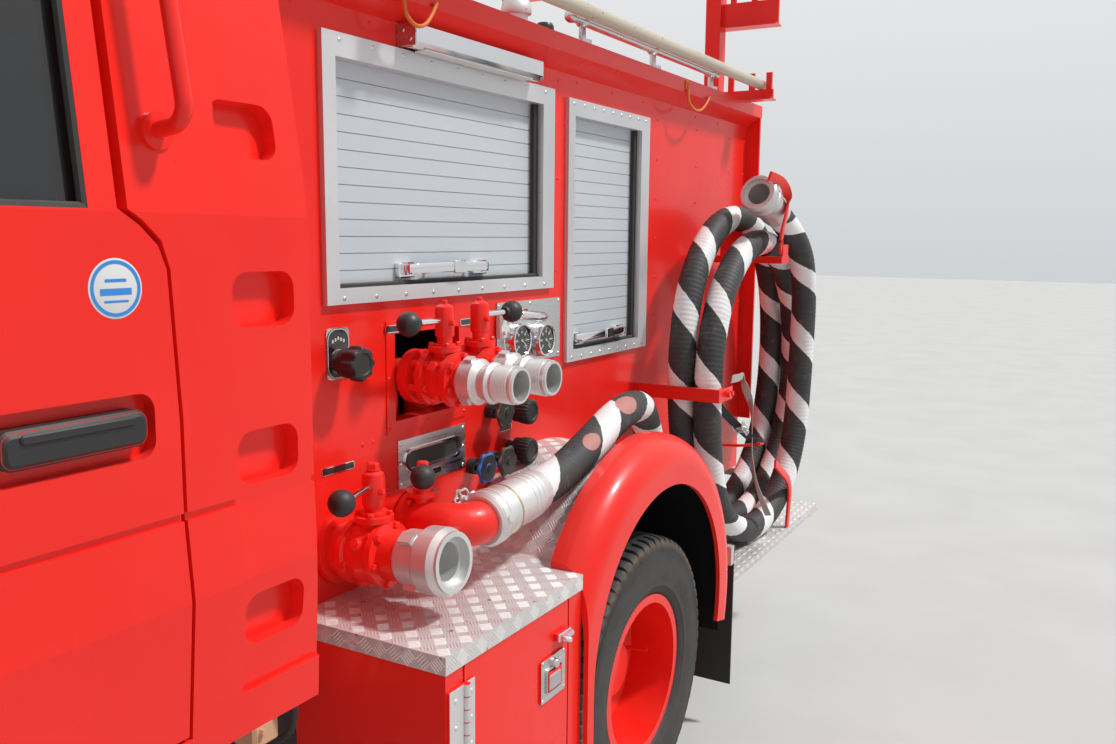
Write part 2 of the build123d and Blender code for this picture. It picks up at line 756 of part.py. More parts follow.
with BuildPart() as cab_shell:
    add(cab_outer)
    add(cab_inner, mode=Mode.SUBTRACT)
    front_floor_x = (cab_skirt_x - 5, cab_nose_x - cab_wall + 5)
    front_floor_y = cab_half_width - cab_wall
    box_between(front_floor_x, (-front_floor_y, front_floor_y), (cab_bottom_z, cab_bottom_z + cab_wall))
    well_x = (cab_skirt_x - 50, cab_nose_x - cab_wall)
    well_y = cab_skirt_half_width - cab_wall
    box_between(well_x, (-well_y, well_y), (cab_skirt_z - 10, cab_bottom_z), Mode.SUBTRACT)
    add(groove_band.part, mode=Mode.SUBTRACT)
    arch_span = (-overall_length, overall_length)
    disc_along_y(front_axle_x, axle_z, arch_span, arch_radius, Mode.SUBTRACT)
    for door_name, rear_x, front_x, top_front_x in door_rows:
        opening = door_outline(rear_x, front_x, top_front_x, door_gap)
        side_prism(opening, 600, 1000, Mode.SUBTRACT)
        side_prism(opening, -1000, -600, Mode.SUBTRACT)
    front_prism(screen_points(0), 2200, nose_x + 50, Mode.SUBTRACT)
    front_prism(rear_window, cab_rear_x - 50, cab_rear_x + 100, Mode.SUBTRACT)
    add(corner_panels.part, mode=Mode.SUBTRACT)
    for ahead, pocket_z in pocket_places:
        lean = roof_lean if pocket_z > cab_belt_z else 0.0
        panel_y = cab_belt_half_width - (pocket_z - cab_belt_z) * lean - corner_panel_step
        for side in (1, -1):
            pocket_plane = Plane(
                origin=(cab_rear_x + ahead, side * panel_y, pocket_z),
                x_dir=(1, 0, 0),
                z_dir=(0, side, lean),
            )
            with BuildSketch(pocket_plane.offset(-pocket_depth)):
                RectangleRounded(pocket_width, pocket_height, pocket_round)
            extrude(amount=pocket_depth + 60, mode=Mode.SUBTRACT)
    for door_name, rear_x, front_x, top_front_x in door_rows:
        for low_z in door_hinge_zs:
            pillar_hinge(front_x + door_hinge_clear, low_z)
finish(cab_shell, "cab_shell")

# Glass of the windscreen and the rear window, set in from the skin
glass_outer = cab_solid(glass_depth)
glass_inner = cab_solid(glass_depth + glass_thickness)

with BuildPart() as cab_glass:
    add(glass_outer)
    add(glass_inner, mode=Mode.SUBTRACT)
    with BuildPart(mode=Mode.PRIVATE) as screens:
        front_prism(screen_points(fit_gap), 2200, nose_x + 50, Mode.ADD)
        shrunk = [(y - fit_gap * (1 if y > 0 else -1), z + fit_gap * (1 if z < 1700 else -1)) for y, z in rear_window]
        front_prism(shrunk, cab_rear_x - 50, cab_rear_x + 100, Mode.ADD)
    add(screens.part, mode=Mode.INTERSECT)
finish(cab_glass, "cab_glass")

# Doors: cut from the cab's own wall, with a pressed recess and a pull handle
handle_length = 190.0
handle_height = 42.0
handle_rear_inset = 55.0
recess_grow = 34.0
recess_depth = 20.0

for door_name, rear_x, front_x, top_front_x in door_rows:
    outline = door_outline(rear_x, front_x - door_hinge_clear, top_front_x, 0)
    window = window_outline(rear_x, front_x - door_hinge_clear, top_front_x, 0)
    pane = window_outline(rear_x, front_x - door_hinge_clear, top_front_x, -fit_gap)
    handle_x = rear_x + handle_rear_inset + handle_length / 2
    with BuildPart() as door_left:
        add(cab_outer)
        add(cab_inner, mode=Mode.SUBTRACT)
        add(groove_band.part, mode=Mode.SUBTRACT)
        side_prism(outline, 600, 1000, Mode.INTERSECT)
        floor_z_pair = (cab_bottom_z, cab_bottom_z + cab_wall + 1)
        box_between((rear_x - 50, front_x + 50), (500, door_sill_y), floor_z_pair, Mode.SUBTRACT)
        side_prism(window, 600, 1000, Mode.SUBTRACT)
        with BuildSketch(Plane.XZ.offset(-(cab_belt_half_width - recess_depth))):
            with Locations((handle_x, handle_z)):
                RectangleRounded(handle_length + recess_grow, handle_height + 1.3 * recess_grow, 24)
        extrude(amount=-80, mode=Mode.SUBTRACT)
        with BuildSketch(Plane.XZ.offset(-(cab_belt_half_width - recess_depth))):
            with Locations((handle_x, handle_z)):
                RectangleRounded(handle_length, handle_height, 14)
        extrude(amount=-(recess_depth + 6))
        for low_z in door_hinge_zs:
            door_hinge(front_x + door_hinge_clear, low_z)
    finish(door_left, f"door_{door_name}_left")
    with BuildPart() as door_right:
        add(mirrored(door_left.part))
    finish(door_right, f"door_{door_name}_right")
    with BuildPart() as door_glass_left:
        add(glass_outer)
        add(glass_inner, mode=Mode.SUBTRACT)
        side_prism(pane, 600, 1000, Mode.INTERSECT)
    finish(door_glass_left, f"door_glass_{door_name}_left")
    with BuildPart() as door_glass_right:
        add(mirrored(door_glass_left.part))
    finish(door_glass_right, f"door_glass_{door_name}_right")

# Seats: two benches on the cab's floor
floor_z = cab_bottom_z + cab_wall
seat_half_width = 700.0
# columns: rear face of the backrest at its foot
bench_rows = (("rear", nose_x - 2550.0), ("front", nose_x - 1430.0))
bench_depth = 480.0
bench_top = 390.0
back_height = 560.0
back_thickness = 130.0

with BuildPart() as cab_seats:
    for bench_name, bench_x in bench_rows:
        with BuildSketch(Plane.XZ.offset(seat_half_width)):
            with BuildLine():
                Polyline(
                    (bench_x, floor_z + fit_gap),
                    (bench_x + back_thickness + bench_depth, floor_z + fit_gap),
                    (bench_x + back_thickness + bench_depth, floor_z + bench_top),
                    (bench_x + back_thickness, floor_z + bench_top - 30),
                    (bench_x + back_thickness - 60, floor_z + bench_top + back_height),
                    (bench_x - 30, floor_z + bench_top + back_height),
                    (bench_x, floor_z + bench_top),
                    close=True,
                )
            make_face()
        extrude(amount=-2 * seat_half_width)
finish(cab_seats, "cab_seats")

# Dashboard across the cab below the windscreen
dash_x = (nose_x - 470.0, nose_x - 200.0)
dash_half_width = 740.0
dash_top_z = 1320.0

with BuildPart() as dashboard:
    with BuildSketch(Plane.XZ.offset(dash_half_width)):
        with BuildLine():
            Polyline(
                (dash_x[1], dash_top_z - 30),
                (dash_x[1], 960),
                (dash_x[0] + 120, 960),
                (dash_x[0], 1120),
                (dash_x[0] + 30, dash_top_z),
                close=True,
            )
        make_face()
    extrude(amount=-2 * dash_half_width)
    for side in (1, -1):
        leg_z = (cab_bottom_z + cab_wall, 970)
        box_between((dash_x[0] + 150, dash_x[1]), (side * 520, side * 640), leg_z)
finish(dashboard, "dashboard")

# Steering wheel on the right, on its raked column
wheel_centre = Vector(nose_x - 630.0, -420.0, 1300.0)
wheel_rake = 40.0
wheel_ring_radius = 200.0
wheel_grip_radius = 14.0
column_dir = Vector(-sin(radians(wheel_rake)), 0, cos(radians(wheel_rake)))

with BuildPart() as steering_wheel:
    wheel_plane = Plane(origin=wheel_centre, z_dir=column_dir)
    with Locations(wheel_plane):
        Torus(wheel_ring_radius, wheel_grip_radius)
        Cylinder(60, 34)
        Box(2 * wheel_ring_radius, 40, 12)
    column_length = 280.0
    with Locations(Plane(origin=wheel_centre, z_dir=-column_dir)):
        Cylinder(28, column_length, align=(Align.CENTER, Align.CENTER, Align.MIN))
    add(dashboard.part, mode=Mode.SUBTRACT)
finish(steering_wheel, "steering_wheel")

# Front bumper, bent round both corners, with a step at each end
bumper_z = (370.0, cab_skirt_z - 2.0)
bumper_depth = 130.0
bumper_half_width = 880.0

with BuildPart() as front_bumper:
    with BuildSketch(Plane.XY.offset(bumper_z[0])) as bumper_plan:
        with BuildLine():
            Polyline(
                (cab_skirt_x + 60, bumper_half_width),
                (nose_x - 190, bumper_half_width),
                (nose_x, bumper_half_width - 190),
                (nose_x, -(bumper_half_width - 190)),
                (nose_x - 190, -bumper_half_width),
                (cab_skirt_x + 60, -bumper_half_width),
                (cab_skirt_x + 60, -(bumper_half_width - 60)),
                (nose_x - 230, -(bumper_half_width - 60)),
                (nose_x - 60, -(bumper_half_width - 230)),
                (nose_x - 60, bumper_half_width - 230),
                (nose_x - 230, bumper_half_width - 60),
                (cab_skirt_x + 60, bumper_half_width - 60),
                close=True,
            )
        make_face()
    extrude(amount=bumper_z[1] - bumper_z[0])
    fillet(front_bumper.edges().filter_by(Axis.Z).group_by(Axis.X)[-1], 60)
    for side in (1, -1):
        horn_y = (side * (rail_y - 25), side * (rail_y + 25))
        box_between((rail_front_x, nose_x - 50), horn_y, (rail_bottom_z, rail_bottom_z + 16))
        box_between((nose_x - 90, nose_x - 50), horn_y, (bumper_z[0] + 20, rail_bottom_z + 16))
finish(front_bumper, "front_bumper")

# Grille: a frame with cross slats on the nose
grille_half_width = 420.0
grille_z = (900.0, 1120.0)
grille_depth = 16.0
slat_count = 5

with BuildPart() as front_grille:
    box_between((cab_nose_x + fit_gap, cab_nose_x + grille_depth), (-grille_half_width, grille_half_width), grille_z)
    slat_pitch = (grille_z[1] - grille_z[0]) / slat_count
    for slat in range(slat_count):
        gap_low = grille_z[0] + slat * slat_pitch + 8
        gap_x = (cab_nose_x + 6, cab_nose_x + grille_depth + 1)
        gap_y = (-(grille_half_width - 20), grille_half_width - 20)
        box_between(gap_x, gap_y, (gap_low, gap_low + slat_pitch - 16), Mode.SUBTRACT)
finish(front_grille, "front_grille")

# Mirrors on two stays ahead of the front doors
mirror_x = nose_x - 170.0
mirror_y = 985.0
mirror_z = (1430.0, 1790.0)
# columns: x on the cab's side, height
mirror_stays = ((nose_x - 220.0, 1480.0), (nose_x - 255.0, 1740.0))

with BuildPart() as mirrors:
    for stay_x, stay_z in mirror_stays:
        side_y = cab_belt_half_width - max(0.0, stay_z - cab_belt_z) * roof_lean - 14
        stay_foot = Vector(stay_x, side_y, stay_z)
        stay_run = Vector(mirror_x, mirror_y + 20, stay_z) - stay_foot
        with Locations(Plane(origin=stay_foot, z_dir=stay_run)):
            Cylinder(9, stay_run.length, align=(Align.CENTER, Align.CENTER, Align.MIN))
    add(cab_outer, mode=Mode.SUBTRACT)
    with BuildSketch(Plane.YZ.offset(mirror_x - 20)):
        with Locations((mirror_y + 75, (mirror_z[0] + mirror_z[1]) / 2)):
            RectangleRounded(180, mirror_z[1] - mirror_z[0], 40)
    extrude(amount=45)
    both_sides(mirrors)
finish(mirrors, "mirrors")

# Warning light bar across the cab's roof, on two feet
bar_x = nose_x - 860.0
bar_half_width = 560.0
bar_z = (cab_roof_z + 45.0, cab_roof_z + 205.0)

with BuildPart() as light_bar:
    with BuildSketch(Plane.XZ.offset(-bar_half_width)):
        with BuildLine():
            low = Polyline((bar_x - 150, bar_z[0] + 40), (bar_x - 150, bar_z[0]), (bar_x + 150, bar_z[0]), (bar_x + 150, bar_z[0] + 40))
            dome = ThreePointArc(low @ 1, (bar_x, bar_z[1]), low @ 0)
        make_face()
    extrude(amount=2 * bar_half_width)
    for side in (1, -1):
        foot_y = (side * 330, side * 410)
        box_between((bar_x - 60, bar_x + 60), foot_y, (cab_roof_z, bar_z[0]))
finish(light_bar, "light_bar")

# Body with the pump room: a hollow box whose walls hold the shutters and the valve bay
# columns: rear edge, front edge, bottom, top of each shutter's frame on a side
side_shutters = (
    (rear_axle_x - 49.0, body_front_x - 246.0, 1404.5, 1932.5),
    (rear_axle_x - 656.0, rear_axle_x - 127.0, 1188.5, 1921.5),
)
frame_border = 31.0
frame_head = 40.0
frame_proud = 12.0
frame_rear_border = 53.0
bay_x = (body_front_x - 727.0, body_front_x - 433.0)
bay_z = (1110.0, 1359.0)
bay_border = 28.0
rear_shutter_half_width = 440.0
rear_shutter_z = (900.0, 1900.0)

with BuildPart() as body_shell:
    box_between((body_rear_x, body_front_x), (-body_half_width, body_half_width), (body_bottom_z, body_top_z))
    inner_y = body_half_width - body_wall
    inner_z = (body_bottom_z + body_wall, body_top_z - body_wall)
    box_between((body_rear_x + body_wall, body_front_x - body_wall), (-inner_y, inner_y), inner_z, Mode.SUBTRACT)
    for side in (1, -1):
        wall_y = (side * (inner_y - 5), side * (body_half_width + 5))
        for rear_x, front_x, low_z, high_z in side_shutters:
            hole_x = (rear_x + frame_rear_border, front_x - frame_border)
            hole_z = (low_z + frame_border - 5, high_z - frame_head)
            box_between(hole_x, wall_y, hole_z, Mode.SUBTRACT)
        hole_x = (bay_x[0] + bay_border, bay_x[1] - bay_border)
        hole_z = (bay_z[0] + bay_border, bay_z[1] - bay_border)
        box_between(hole_x, wall_y, hole_z, Mode.SUBTRACT)
        skirt_y = (side * inner_y, side * body_half_width)
        box_between((body_rear_x, rear_axle_x - 560), skirt_y, (590, body_bottom_z))
    rear_hole_x = (body_rear_x - 5, body_rear_x + body_wall + 5)
    rear_hole_y = (-rear_shutter_half_width, rear_shutter_half_width)
    box_between(rear_hole_x, rear_hole_y, rear_shutter_z, Mode.SUBTRACT)
finish(body_shell, "body_shell")

# Subframe: bearers between the rails and the body's floor, the lockers' arms and the cab's mounts
# columns: bearer's x, half of its length
bearer_rows = (
    (body_front_x - 80.0, 500.0),
    (rear_axle_x + 460.0, 500.0),
    (rear_axle_x, 430.0),
    (rear_axle_x - 500.0, 500.0),
    (tail_x + 560.0, 500.0),
    (tail_x + 160.0, 500.0),
)
locker_arm_xs = (locker_front_x - 68.0, locker_rear_x + 70.0)
cab_mount_xs = (nose_x - 2380.0, nose_x - 680.0)
rail_outer_y = rail_y + rail_flange / 2

with BuildPart() as subframe:
    for side in (1, -1):
        long_y = (side * (rail_y - 30), side * (rail_y + 30))
        box_between((body_rear_x + 20, body_front_x - 20), long_y, (rail_top_z, rail_top_z + 40))
    for bearer_x, bearer_half in bearer_rows:
        bearer_y = (-bearer_half, bearer_half)
        box_between((bearer_x - 25, bearer_x + 25), bearer_y, (rail_top_z + 40, body_bottom_z))
    for side in (1, -1):
        for arm_x in locker_arm_xs:
            arm_y = (side * rail_outer_y, side * (body_half_width + fit_gap))
            box_between((arm_x - 20, arm_x + 20), arm_y, (rail_z - 30, rail_z + 20))
        for mount_x in cab_mount_xs:
            with BuildSketch(Plane.XY.offset(rail_top_z)):
                with Locations((mount_x, side * rail_y)):
                    Rectangle(90, rail_flange)
            with BuildSketch(Plane.XY.offset(cab_bottom_z)):
                with Locations((mount_x, side * rail_y)):
                    Rectangle(60, 50)
            loft()
finish(subframe, "subframe")

# Roof with its overhanging rain edge, turned down at the rear corners
fin_thickness = 12.0
fin_bottom_z = 800.0

with BuildPart() as body_roof:
    with BuildSketch(Plane.YZ.offset(body_rear_x)):
        with BuildLine():
            Polyline(
                (0, body_top_z),
                (body_half_width, body_top_z),
                (body_half_width, cornice_root_z),
                (cornice_y, cornice_bottom_z),
                (cornice_y, cornice_top_z),
                (cornice_y - cornice_lip, cornice_top_z),
                (cornice_y - cornice_lip, deck_z),
                (0, deck_z),
            )
            mirror(about=Plane.YZ)
        make_face()
    extrude(amount=body_front_x - body_rear_x)
    for side in (1, -1):
        fin_y = (side * body_half_width, side * (cornice_y - 3))
        box_between((body_rear_x, body_rear_x + fin_thickness), fin_y, (fin_bottom_z, cornice_bottom_z))
finish(body_roof, "body_roof")

# Shutter frames: aluminium angles round each opening, with a channel for the slats
curtain_y = (body_half_width - 30.0, body_half_width - 20.0)

with BuildPart() as shutter_frames:
    for rear_x, front_x, low_z, high_z in side_shutters:
        outer_y = (body_half_width, body_half_width + frame_proud)
        box_between((rear_x, front_x), outer_y, (low_z, high_z))
        hole_x = (rear_x + frame_rear_border, front_x - frame_border)
        hole_z = (low_z + frame_border - 5, high_z - frame_head)
        box_between(hole_x, (curtain_y[0] - 20, body_half_width - 8 + 8), hole_z)
        clear_x = (hole_x[0] + 6, hole_x[1] - 6)
        clear_z = (hole_z[0] + 6, hole_z[1] - 6)
        clear_y = (curtain_y[0] - 30, body_half_width + frame_proud + 5)
        box_between(clear_x, clear_y, clear_z, Mode.SUBTRACT)
    both_sides(shutter_frames)
    rear_outer = (body_rear_x - frame_proud, body_rear_x)
    span_y = rear_shutter_half_width + 30
    span_z = (rear_shutter_z[0] - 30, rear_shutter_z[1] + 30)
    box_between(rear_outer, (-span_y, span_y), span_z)
    box_between((body_rear_x, body_rear_x + 35), rear_hole_y, rear_shutter_z)
    clear_y = (-(rear_shutter_half_width - 6), rear_shutter_half_width - 6)
    clear_z = (rear_shutter_z[0] + 6, rear_shutter_z[1] - 6)
    box_between((body_rear_x - 30, body_rear_x + 40), clear_y, clear_z, Mode.SUBTRACT)
finish(shutter_frames, "shutter_frames")

# Shutter curtains: interlocked slats above a bottom bar with its pull handle
slat_height = 34.7
slat_groove = 2.0
slat_sheet = 6.0
pull_length = 180.0

with BuildPart() as shutter_curtains:
    for rear_x, front_x, low_z, high_z in side_shutters:
        low_x = rear_x + frame_rear_border + 6 + fit_gap
        high_x = front_x - frame_border - 6 - fit_gap
        bottom_z = low_z + frame_border + 1 + fit_gap
        top_z = high_z - frame_head - 6 - fit_gap
        box_between((low_x, high_x), (curtain_y[0], curtain_y[0] + slat_sheet), (bottom_z, top_z))
        slat_total = int((top_z - bottom_z) / slat_height)
        for slat in range(slat_total):
            slat_low = top_z - (slat + 1) * slat_height + slat_groove
            slat_z = (slat_low, slat_low + slat_height - slat_groove)
            box_between((low_x, high_x), curtain_y, slat_z)
        box_between((low_x, high_x), curtain_y, (bottom_z, top_z - slat_total * slat_height))
        pull_x = (low_x + high_x) / 2
        pull_z = bottom_z + 30
        bar_along_x(curtain_y[1] + 20, pull_z, (pull_x - pull_length / 2, pull_x + pull_length / 2), 7)
        for end in (-1, 1):
            foot_x = pull_x + end * (pull_length / 2 - 12)
            disc_along_y(foot_x, pull_z, (curtain_y[1] - 1, curtain_y[1] + 19), 5)
    both_sides(shutter_curtains)
    curtain_half = rear_shutter_half_width - 6 - fit_gap
    curtain_x = (body_rear_x + 14, body_rear_x + 24)
    curtain_z = (rear_shutter_z[0] + 6 + fit_gap, rear_shutter_z[1] - 6 - fit_gap)
    box_between(curtain_x, (-curtain_half, curtain_half), curtain_z)
    slat_total = int((curtain_z[1] - curtain_z[0]) / slat_height)
    for slat in range(1, slat_total):
        groove_low = curtain_z[1] - slat * slat_height
        groove_x = (curtain_x[0] - 1, curtain_x[0] + 3)
        box_between(groove_x, (-curtain_half, curtain_half), (groove_low, groove_low + slat_groove), Mode.SUBTRACT)
finish(shutter_curtains, "shutter_curtains")

# Work lamps: a long bright box over the large shutter, one on each side
lamp_span_x = (rear_axle_x + 80.0, body_front_x - 485.0)

with BuildPart() as work_lamps:
    with BuildSketch(Plane.YZ.offset(lamp_span_x[0])):
        with BuildLine():
            Polyline(
                (body_half_width, 1983),
                (body_half_width, 1936),
                (body_half_width + 40, 1933),
                (body_half_width + 52, 1945),
                (body_half_width + 52, 1980),
                (body_half_width + 12, 1986),
                close=True,
            )
        make_face()
    extrude(amount=lamp_span_x[1] - lamp_span_x[0])
    both_sides(work_lamps)
finish(work_lamps, "work_lamps")

# Lockers: a hollow box each side, open outwards, with a door
locker_inner_y = body_half_width + fit_gap
locker_door_x = (locker_rear_x + 62.0, locker_front_x - 59.0)
locker_door_z = (400.0, 762.0)
locker_door_thickness = 18.0
hinge_radius = 7.0
hinge_x = locker_door_x[1] + door_gap / 2
hinge_y = locker_outer_y + hinge_radius + fit_gap
hinge_z = (430.0, 730.0)

with BuildPart() as side_lockers:
    box_between((locker_rear_x, locker_front_x), (locker_inner_y, locker_outer_y), (locker_bottom_z, locker_top_z))
    inside_x = (locker_rear_x + locker_wall, locker_front_x - locker_wall)
    inside_y = (locker_inner_y + locker_wall, locker_outer_y - locker_wall)
    inside_z = (locker_bottom_z + locker_wall, locker_top_z - locker_wall)
    box_between(inside_x, inside_y, inside_z, Mode.SUBTRACT)
    hole_x = (locker_door_x[0] - door_gap, locker_door_x[1] + door_gap)
    hole_z = (locker_door_z[0] - door_gap, locker_door_z[1] + door_gap)
    box_between(hole_x, (inside_y[1] - 1, locker_outer_y + 1), hole_z, Mode.SUBTRACT)
    strip_x = (hinge_x + hinge_radius + fit_gap, locker_front_x - 4)
    box_between(strip_x, (locker_outer_y, locker_outer_y + 5), hinge_z)
    both_sides(side_lockers)
finish(side_lockers, "side_lockers")

with BuildPart() as locker_door_left:
    door_y = (locker_outer_y - locker_door_thickness, locker_outer_y)
    box_between(locker_door_x, door_y, locker_door_z)
    fillet(locker_door_left.edges().filter_by(Axis.Y), 6)
    lock_x = (locker_door_x[0] + 20, locker_door_x[0] + 118)
    box_between(lock_x, (locker_outer_y - 1, locker_outer_y + 4), (570, 660))
    box_between((lock_x[0] + 22, lock_x[1] - 22), (locker_outer_y + 3, locker_outer_y + 10), (590, 632))
    post_along_z(hinge_x, hinge_y, hinge_z, hinge_radius)
    box_between((hinge_x - 30, hinge_x), (locker_outer_y - 0.5, locker_outer_y + 3), hinge_z)
    latch_x = locker_door_x[0] + 34
    box_between((latch_x - 26, latch_x + 26), (locker_outer_y - 1, locker_outer_y + 10), (688, 704))
finish(locker_door_left, "locker_door_left")

with BuildPart() as locker_door_right:
    add(mirrored(locker_door_left.part))
finish(locker_door_right, "locker_door_right")

# Checker plates: the locker's lid with its turned lips, and the deck that climbs over the wheels
deck_start_angle = degrees(asin((plate_top_z - arch_centre_z) / deck_radius))
deck_outer_y = fender_inner_y - fit_gap

with BuildPart() as tread_plates:
    plate_rear_x = rear_axle_x + deck_radius * cos(radians(deck_start_angle))
    lid_x = (plate_rear_x, locker_front_x + plate_thickness + fit_gap)
    lid_y = (locker_inner_y, locker_outer_y + plate_thickness + fit_gap)
    box_between((plate_rear_x - 4, locker_rear_x), (locker_inner_y, deck_outer_y), (locker_top_z, plate_top_z))
    box_between((locker_rear_x, lid_x[1]), lid_y, (locker_top_z, plate_top_z))
    lip_z = (plate_top_z - plate_lip, plate_top_z)
    box_between((locker_rear_x, lid_x[1]), (lid_y[1] - plate_thickness, lid_y[1]), lip_z)
    box_between((lid_x[1] - plate_thickness, lid_x[1]), lid_y, lip_z)
    with BuildSketch(Plane.XZ.offset(-deck_outer_y)):
        with BuildLine():
            outer_arc = CenterArc(
                (rear_axle_x, arch_centre_z), deck_radius, deck_start_angle, 180 - 2 * deck_start_angle
            )
            inner_arc = CenterArc(
                (rear_axle_x, arch_centre_z), deck_radius - plate_thickness, deck_start_angle, 180 - 2 * deck_start_angle
            )
            Line(outer_arc @ 0, inner_arc @ 0)
            Line(outer_arc @ 1, inner_arc @ 1)
        make_face()
    extrude(amount=deck_outer_y - locker_inner_y)
    both_sides(tread_plates)
finish(tread_plates, "tread_plates")

# Rear fenders: a rounded section turned about the arch's centre
fender_end_angle = 14.0

with BuildPart() as rear_fenders:
    with BuildSketch(Plane(origin=(rear_axle_x, 0, arch_centre_z), x_dir=(-1, 0, 0), z_dir=(0, 0, 1))) as section:
        with BuildLine():
            rim_out = Line((fender_inner_radius, -fender_outer_y), (fender_crown_radius - fender_round, -fender_outer_y))
            crown = ThreePointArc(
                rim_out @ 1,
                (
                    fender_crown_radius - fender_round * (1 - cos(radians(45))),
                    -(fender_outer_y - fender_round * (1 - cos(radians(45)))),
                ),
                (fender_crown_radius, -(fender_outer_y - fender_round)),
            )
            leg = Polyline(
                crown @ 1,
                (fender_crown_radius, -fender_inner_y),
                (deck_radius - plate_thickness, -fender_inner_y),
                (deck_radius - plate_thickness, -(fender_inner_y + fender_wall)),
                (fender_crown_radius - fender_wall, -(fender_inner_y + fender_wall)),
            )
            under = ThreePointArc(
                leg @ 1,
                (
                    fender_crown_radius - fender_round * (1 - cos(radians(45))) - fender_wall,
                    -(fender_outer_y - fender_round * (1 - cos(radians(45))) - fender_wall),
                ),
                (fender_crown_radius - fender_round, -(fender_outer_y - fender_wall)),
            )
            Polyline(under @ 1, (fender_inner_radius, -(fender_outer_y - fender_wall)), rim_out @ 0)
        make_face()
    fender_axis = Axis((rear_axle_x, 0, arch_centre_z), (0, -1, 0))
    revolve(section.sketch.rotate(fender_axis, fender_end_angle), axis=fender_axis, revolution_arc=-(180 + fender_end_angle))
    clip_x = (locker_rear_x, 0)
    box_between(clip_x, (0, 2000), (0, 2000), Mode.SUBTRACT)
    leg_x = (rear_axle_x + fender_inner_radius, locker_rear_x)
    box_between(leg_x, (fender_outer_y - fender_wall, fender_outer_y), (locker_bottom_z, arch_centre_z + 1))
    both_sides(rear_fenders)
finish(rear_fenders, "rear_fenders")


def turned_about(origin, axis, radial, points, mode=Mode.ADD):
    """Turn a closed outline of (radius, distance along the axis) points about an axis."""
    along = Vector(*axis).normalized()
    across = Vector(*radial)
    across = (across - along * across.dot(along)).normalized()
    with BuildSketch(Plane(origin=origin, x_dir=across, z_dir=across.cross(along))) as outline:
        with BuildLine():
            Polyline(*points, close=True)
        make_face()
    revolve(outline.sketch, axis=Axis(origin, along), mode=mode)


def held_route(points, share=0.45):
    """Draw a route of straight runs whose corners are arcs as large as their runs allow."""
    corners = [Vector(*point) for point in points]
    radii = []
    leave_before = corners[0]
    for before, here, after in zip(corners, corners[1:], corners[2:]):
        back = (before - here).normalized()
        ahead = (after - here).normalized()
        half_turn = radians(180 - back.get_angle(ahead)) / 2
        reach = share * min((here - before).length, (after - here).length)
        radius = reach / tan(half_turn)
        inward = (back + ahead).normalized()
        entry = here + back * reach
        leave = here + ahead * reach
        Line(leave_before, entry)
        ThreePointArc(entry, here + inward * (radius / cos(half_turn) - radius), leave)
        leave_before = leave
        radii.append(radius)
    Line(leave_before, corners[-1])
    return radii


def swept_bar(points, radius, share=0.45):
    """Sweep a round section along a held route."""
    with BuildLine() as route:
        held_route(points, share)
    start = Vector(*points[0])
    with BuildSketch(Plane(origin=start, z_dir=Vector(*points[1]) - start)) as section:
        Circle(radius)
    sweep(section.sketch, path=route.wires()[0])


# Mud flaps behind the rear wheels, each hung from a bar on the rail
flap_x = rear_axle_x - 580.0
flap_thickness = 6.0
flap_y = (470.0, 925.0)
flap_bottom_z = 130.0
skirt_bottom_z = 590.0

with BuildPart() as mud_flaps:
    box_between((flap_x, flap_x + flap_thickness), flap_y, (flap_bottom_z, skirt_bottom_z - fit_gap))
    both_sides(mud_flaps)
finish(mud_flaps, "mud_flaps")

# Rear footboards along both sides and a step across the tail, on arms from the rails
board_x = (tail_x + 70.0, flap_x - 30)
board_y = (560.0, 905.0)
board_top_z = 475.0
board_thickness = 30.0
arm_height = 14.0
arm_xs = (flap_x - 140.0, tail_x + 530.0, tail_x + 120.0)
tail_step_z = (545.0, 575.0)
tail_step_half_width = 560.0

with BuildPart() as rear_platform:
    board_z = (board_top_z - board_thickness, board_top_z)
    box_between(board_x, board_y, board_z)
    for arm_x in arm_xs:
        arm_span = (arm_x - 22, arm_x + 22)
        box_between(arm_span, (rail_y, 760), (board_z[0] - arm_height, board_z[0]))
        box_between(arm_span, (rail_y - 22, rail_y + 22), (board_z[0] - arm_height, rail_bottom_z))
    flap_bar_x = (flap_x + flap_thickness, flap_x + flap_thickness + 24)
    box_between(flap_bar_x, (rail_outer_y, flap_y[1]), (skirt_bottom_z - 60, skirt_bottom_z - fit_gap))
    both_sides(rear_platform)
    tail_step_y = (-tail_step_half_width, tail_step_half_width)
    box_between((tail_x, rail_rear_x), tail_step_y, tail_step_z)
finish(rear_platform, "rear_platform")

# Road lamps: round head lamps on the nose, tail lamps at the rear wall's corners
head_lamp_radius = 78.0
head_lamp_y = 525.0
head_lamp_z = 1012.0
lamp_depth = 26.0

with BuildPart() as road_lamps:
    with Locations(Plane(origin=(cab_nose_x + fit_gap, head_lamp_y, head_lamp_z), z_dir=(1, 0, 0))):
        Cylinder(head_lamp_radius, lamp_depth, align=(Align.CENTER, Align.CENTER, Align.MIN))
    fillet(road_lamps.faces().sort_by(Axis.X)[-1].edges(), 12)
    with BuildSketch(Plane.YZ.offset(body_rear_x - lamp_depth)):
        with Locations((512, 930)):
            RectangleRounded(66, 150, 12)
    extrude(amount=lamp_depth)
    both_sides(road_lamps)
finish(road_lamps, "road_lamps")

# Grab handles on the pillars behind the crew doors
handle_x = cab_rear_x + 265.0
handle_low_z = 1674.0
handle_high_z = 2060.0
handle_stand = 62.0
handle_bar_radius = 11.0


def cab_side_y(height):
    """Distance of the cab's side from the middle plane, above the belt."""
    return cab_belt_half_width - (height - cab_belt_z) * roof_lean


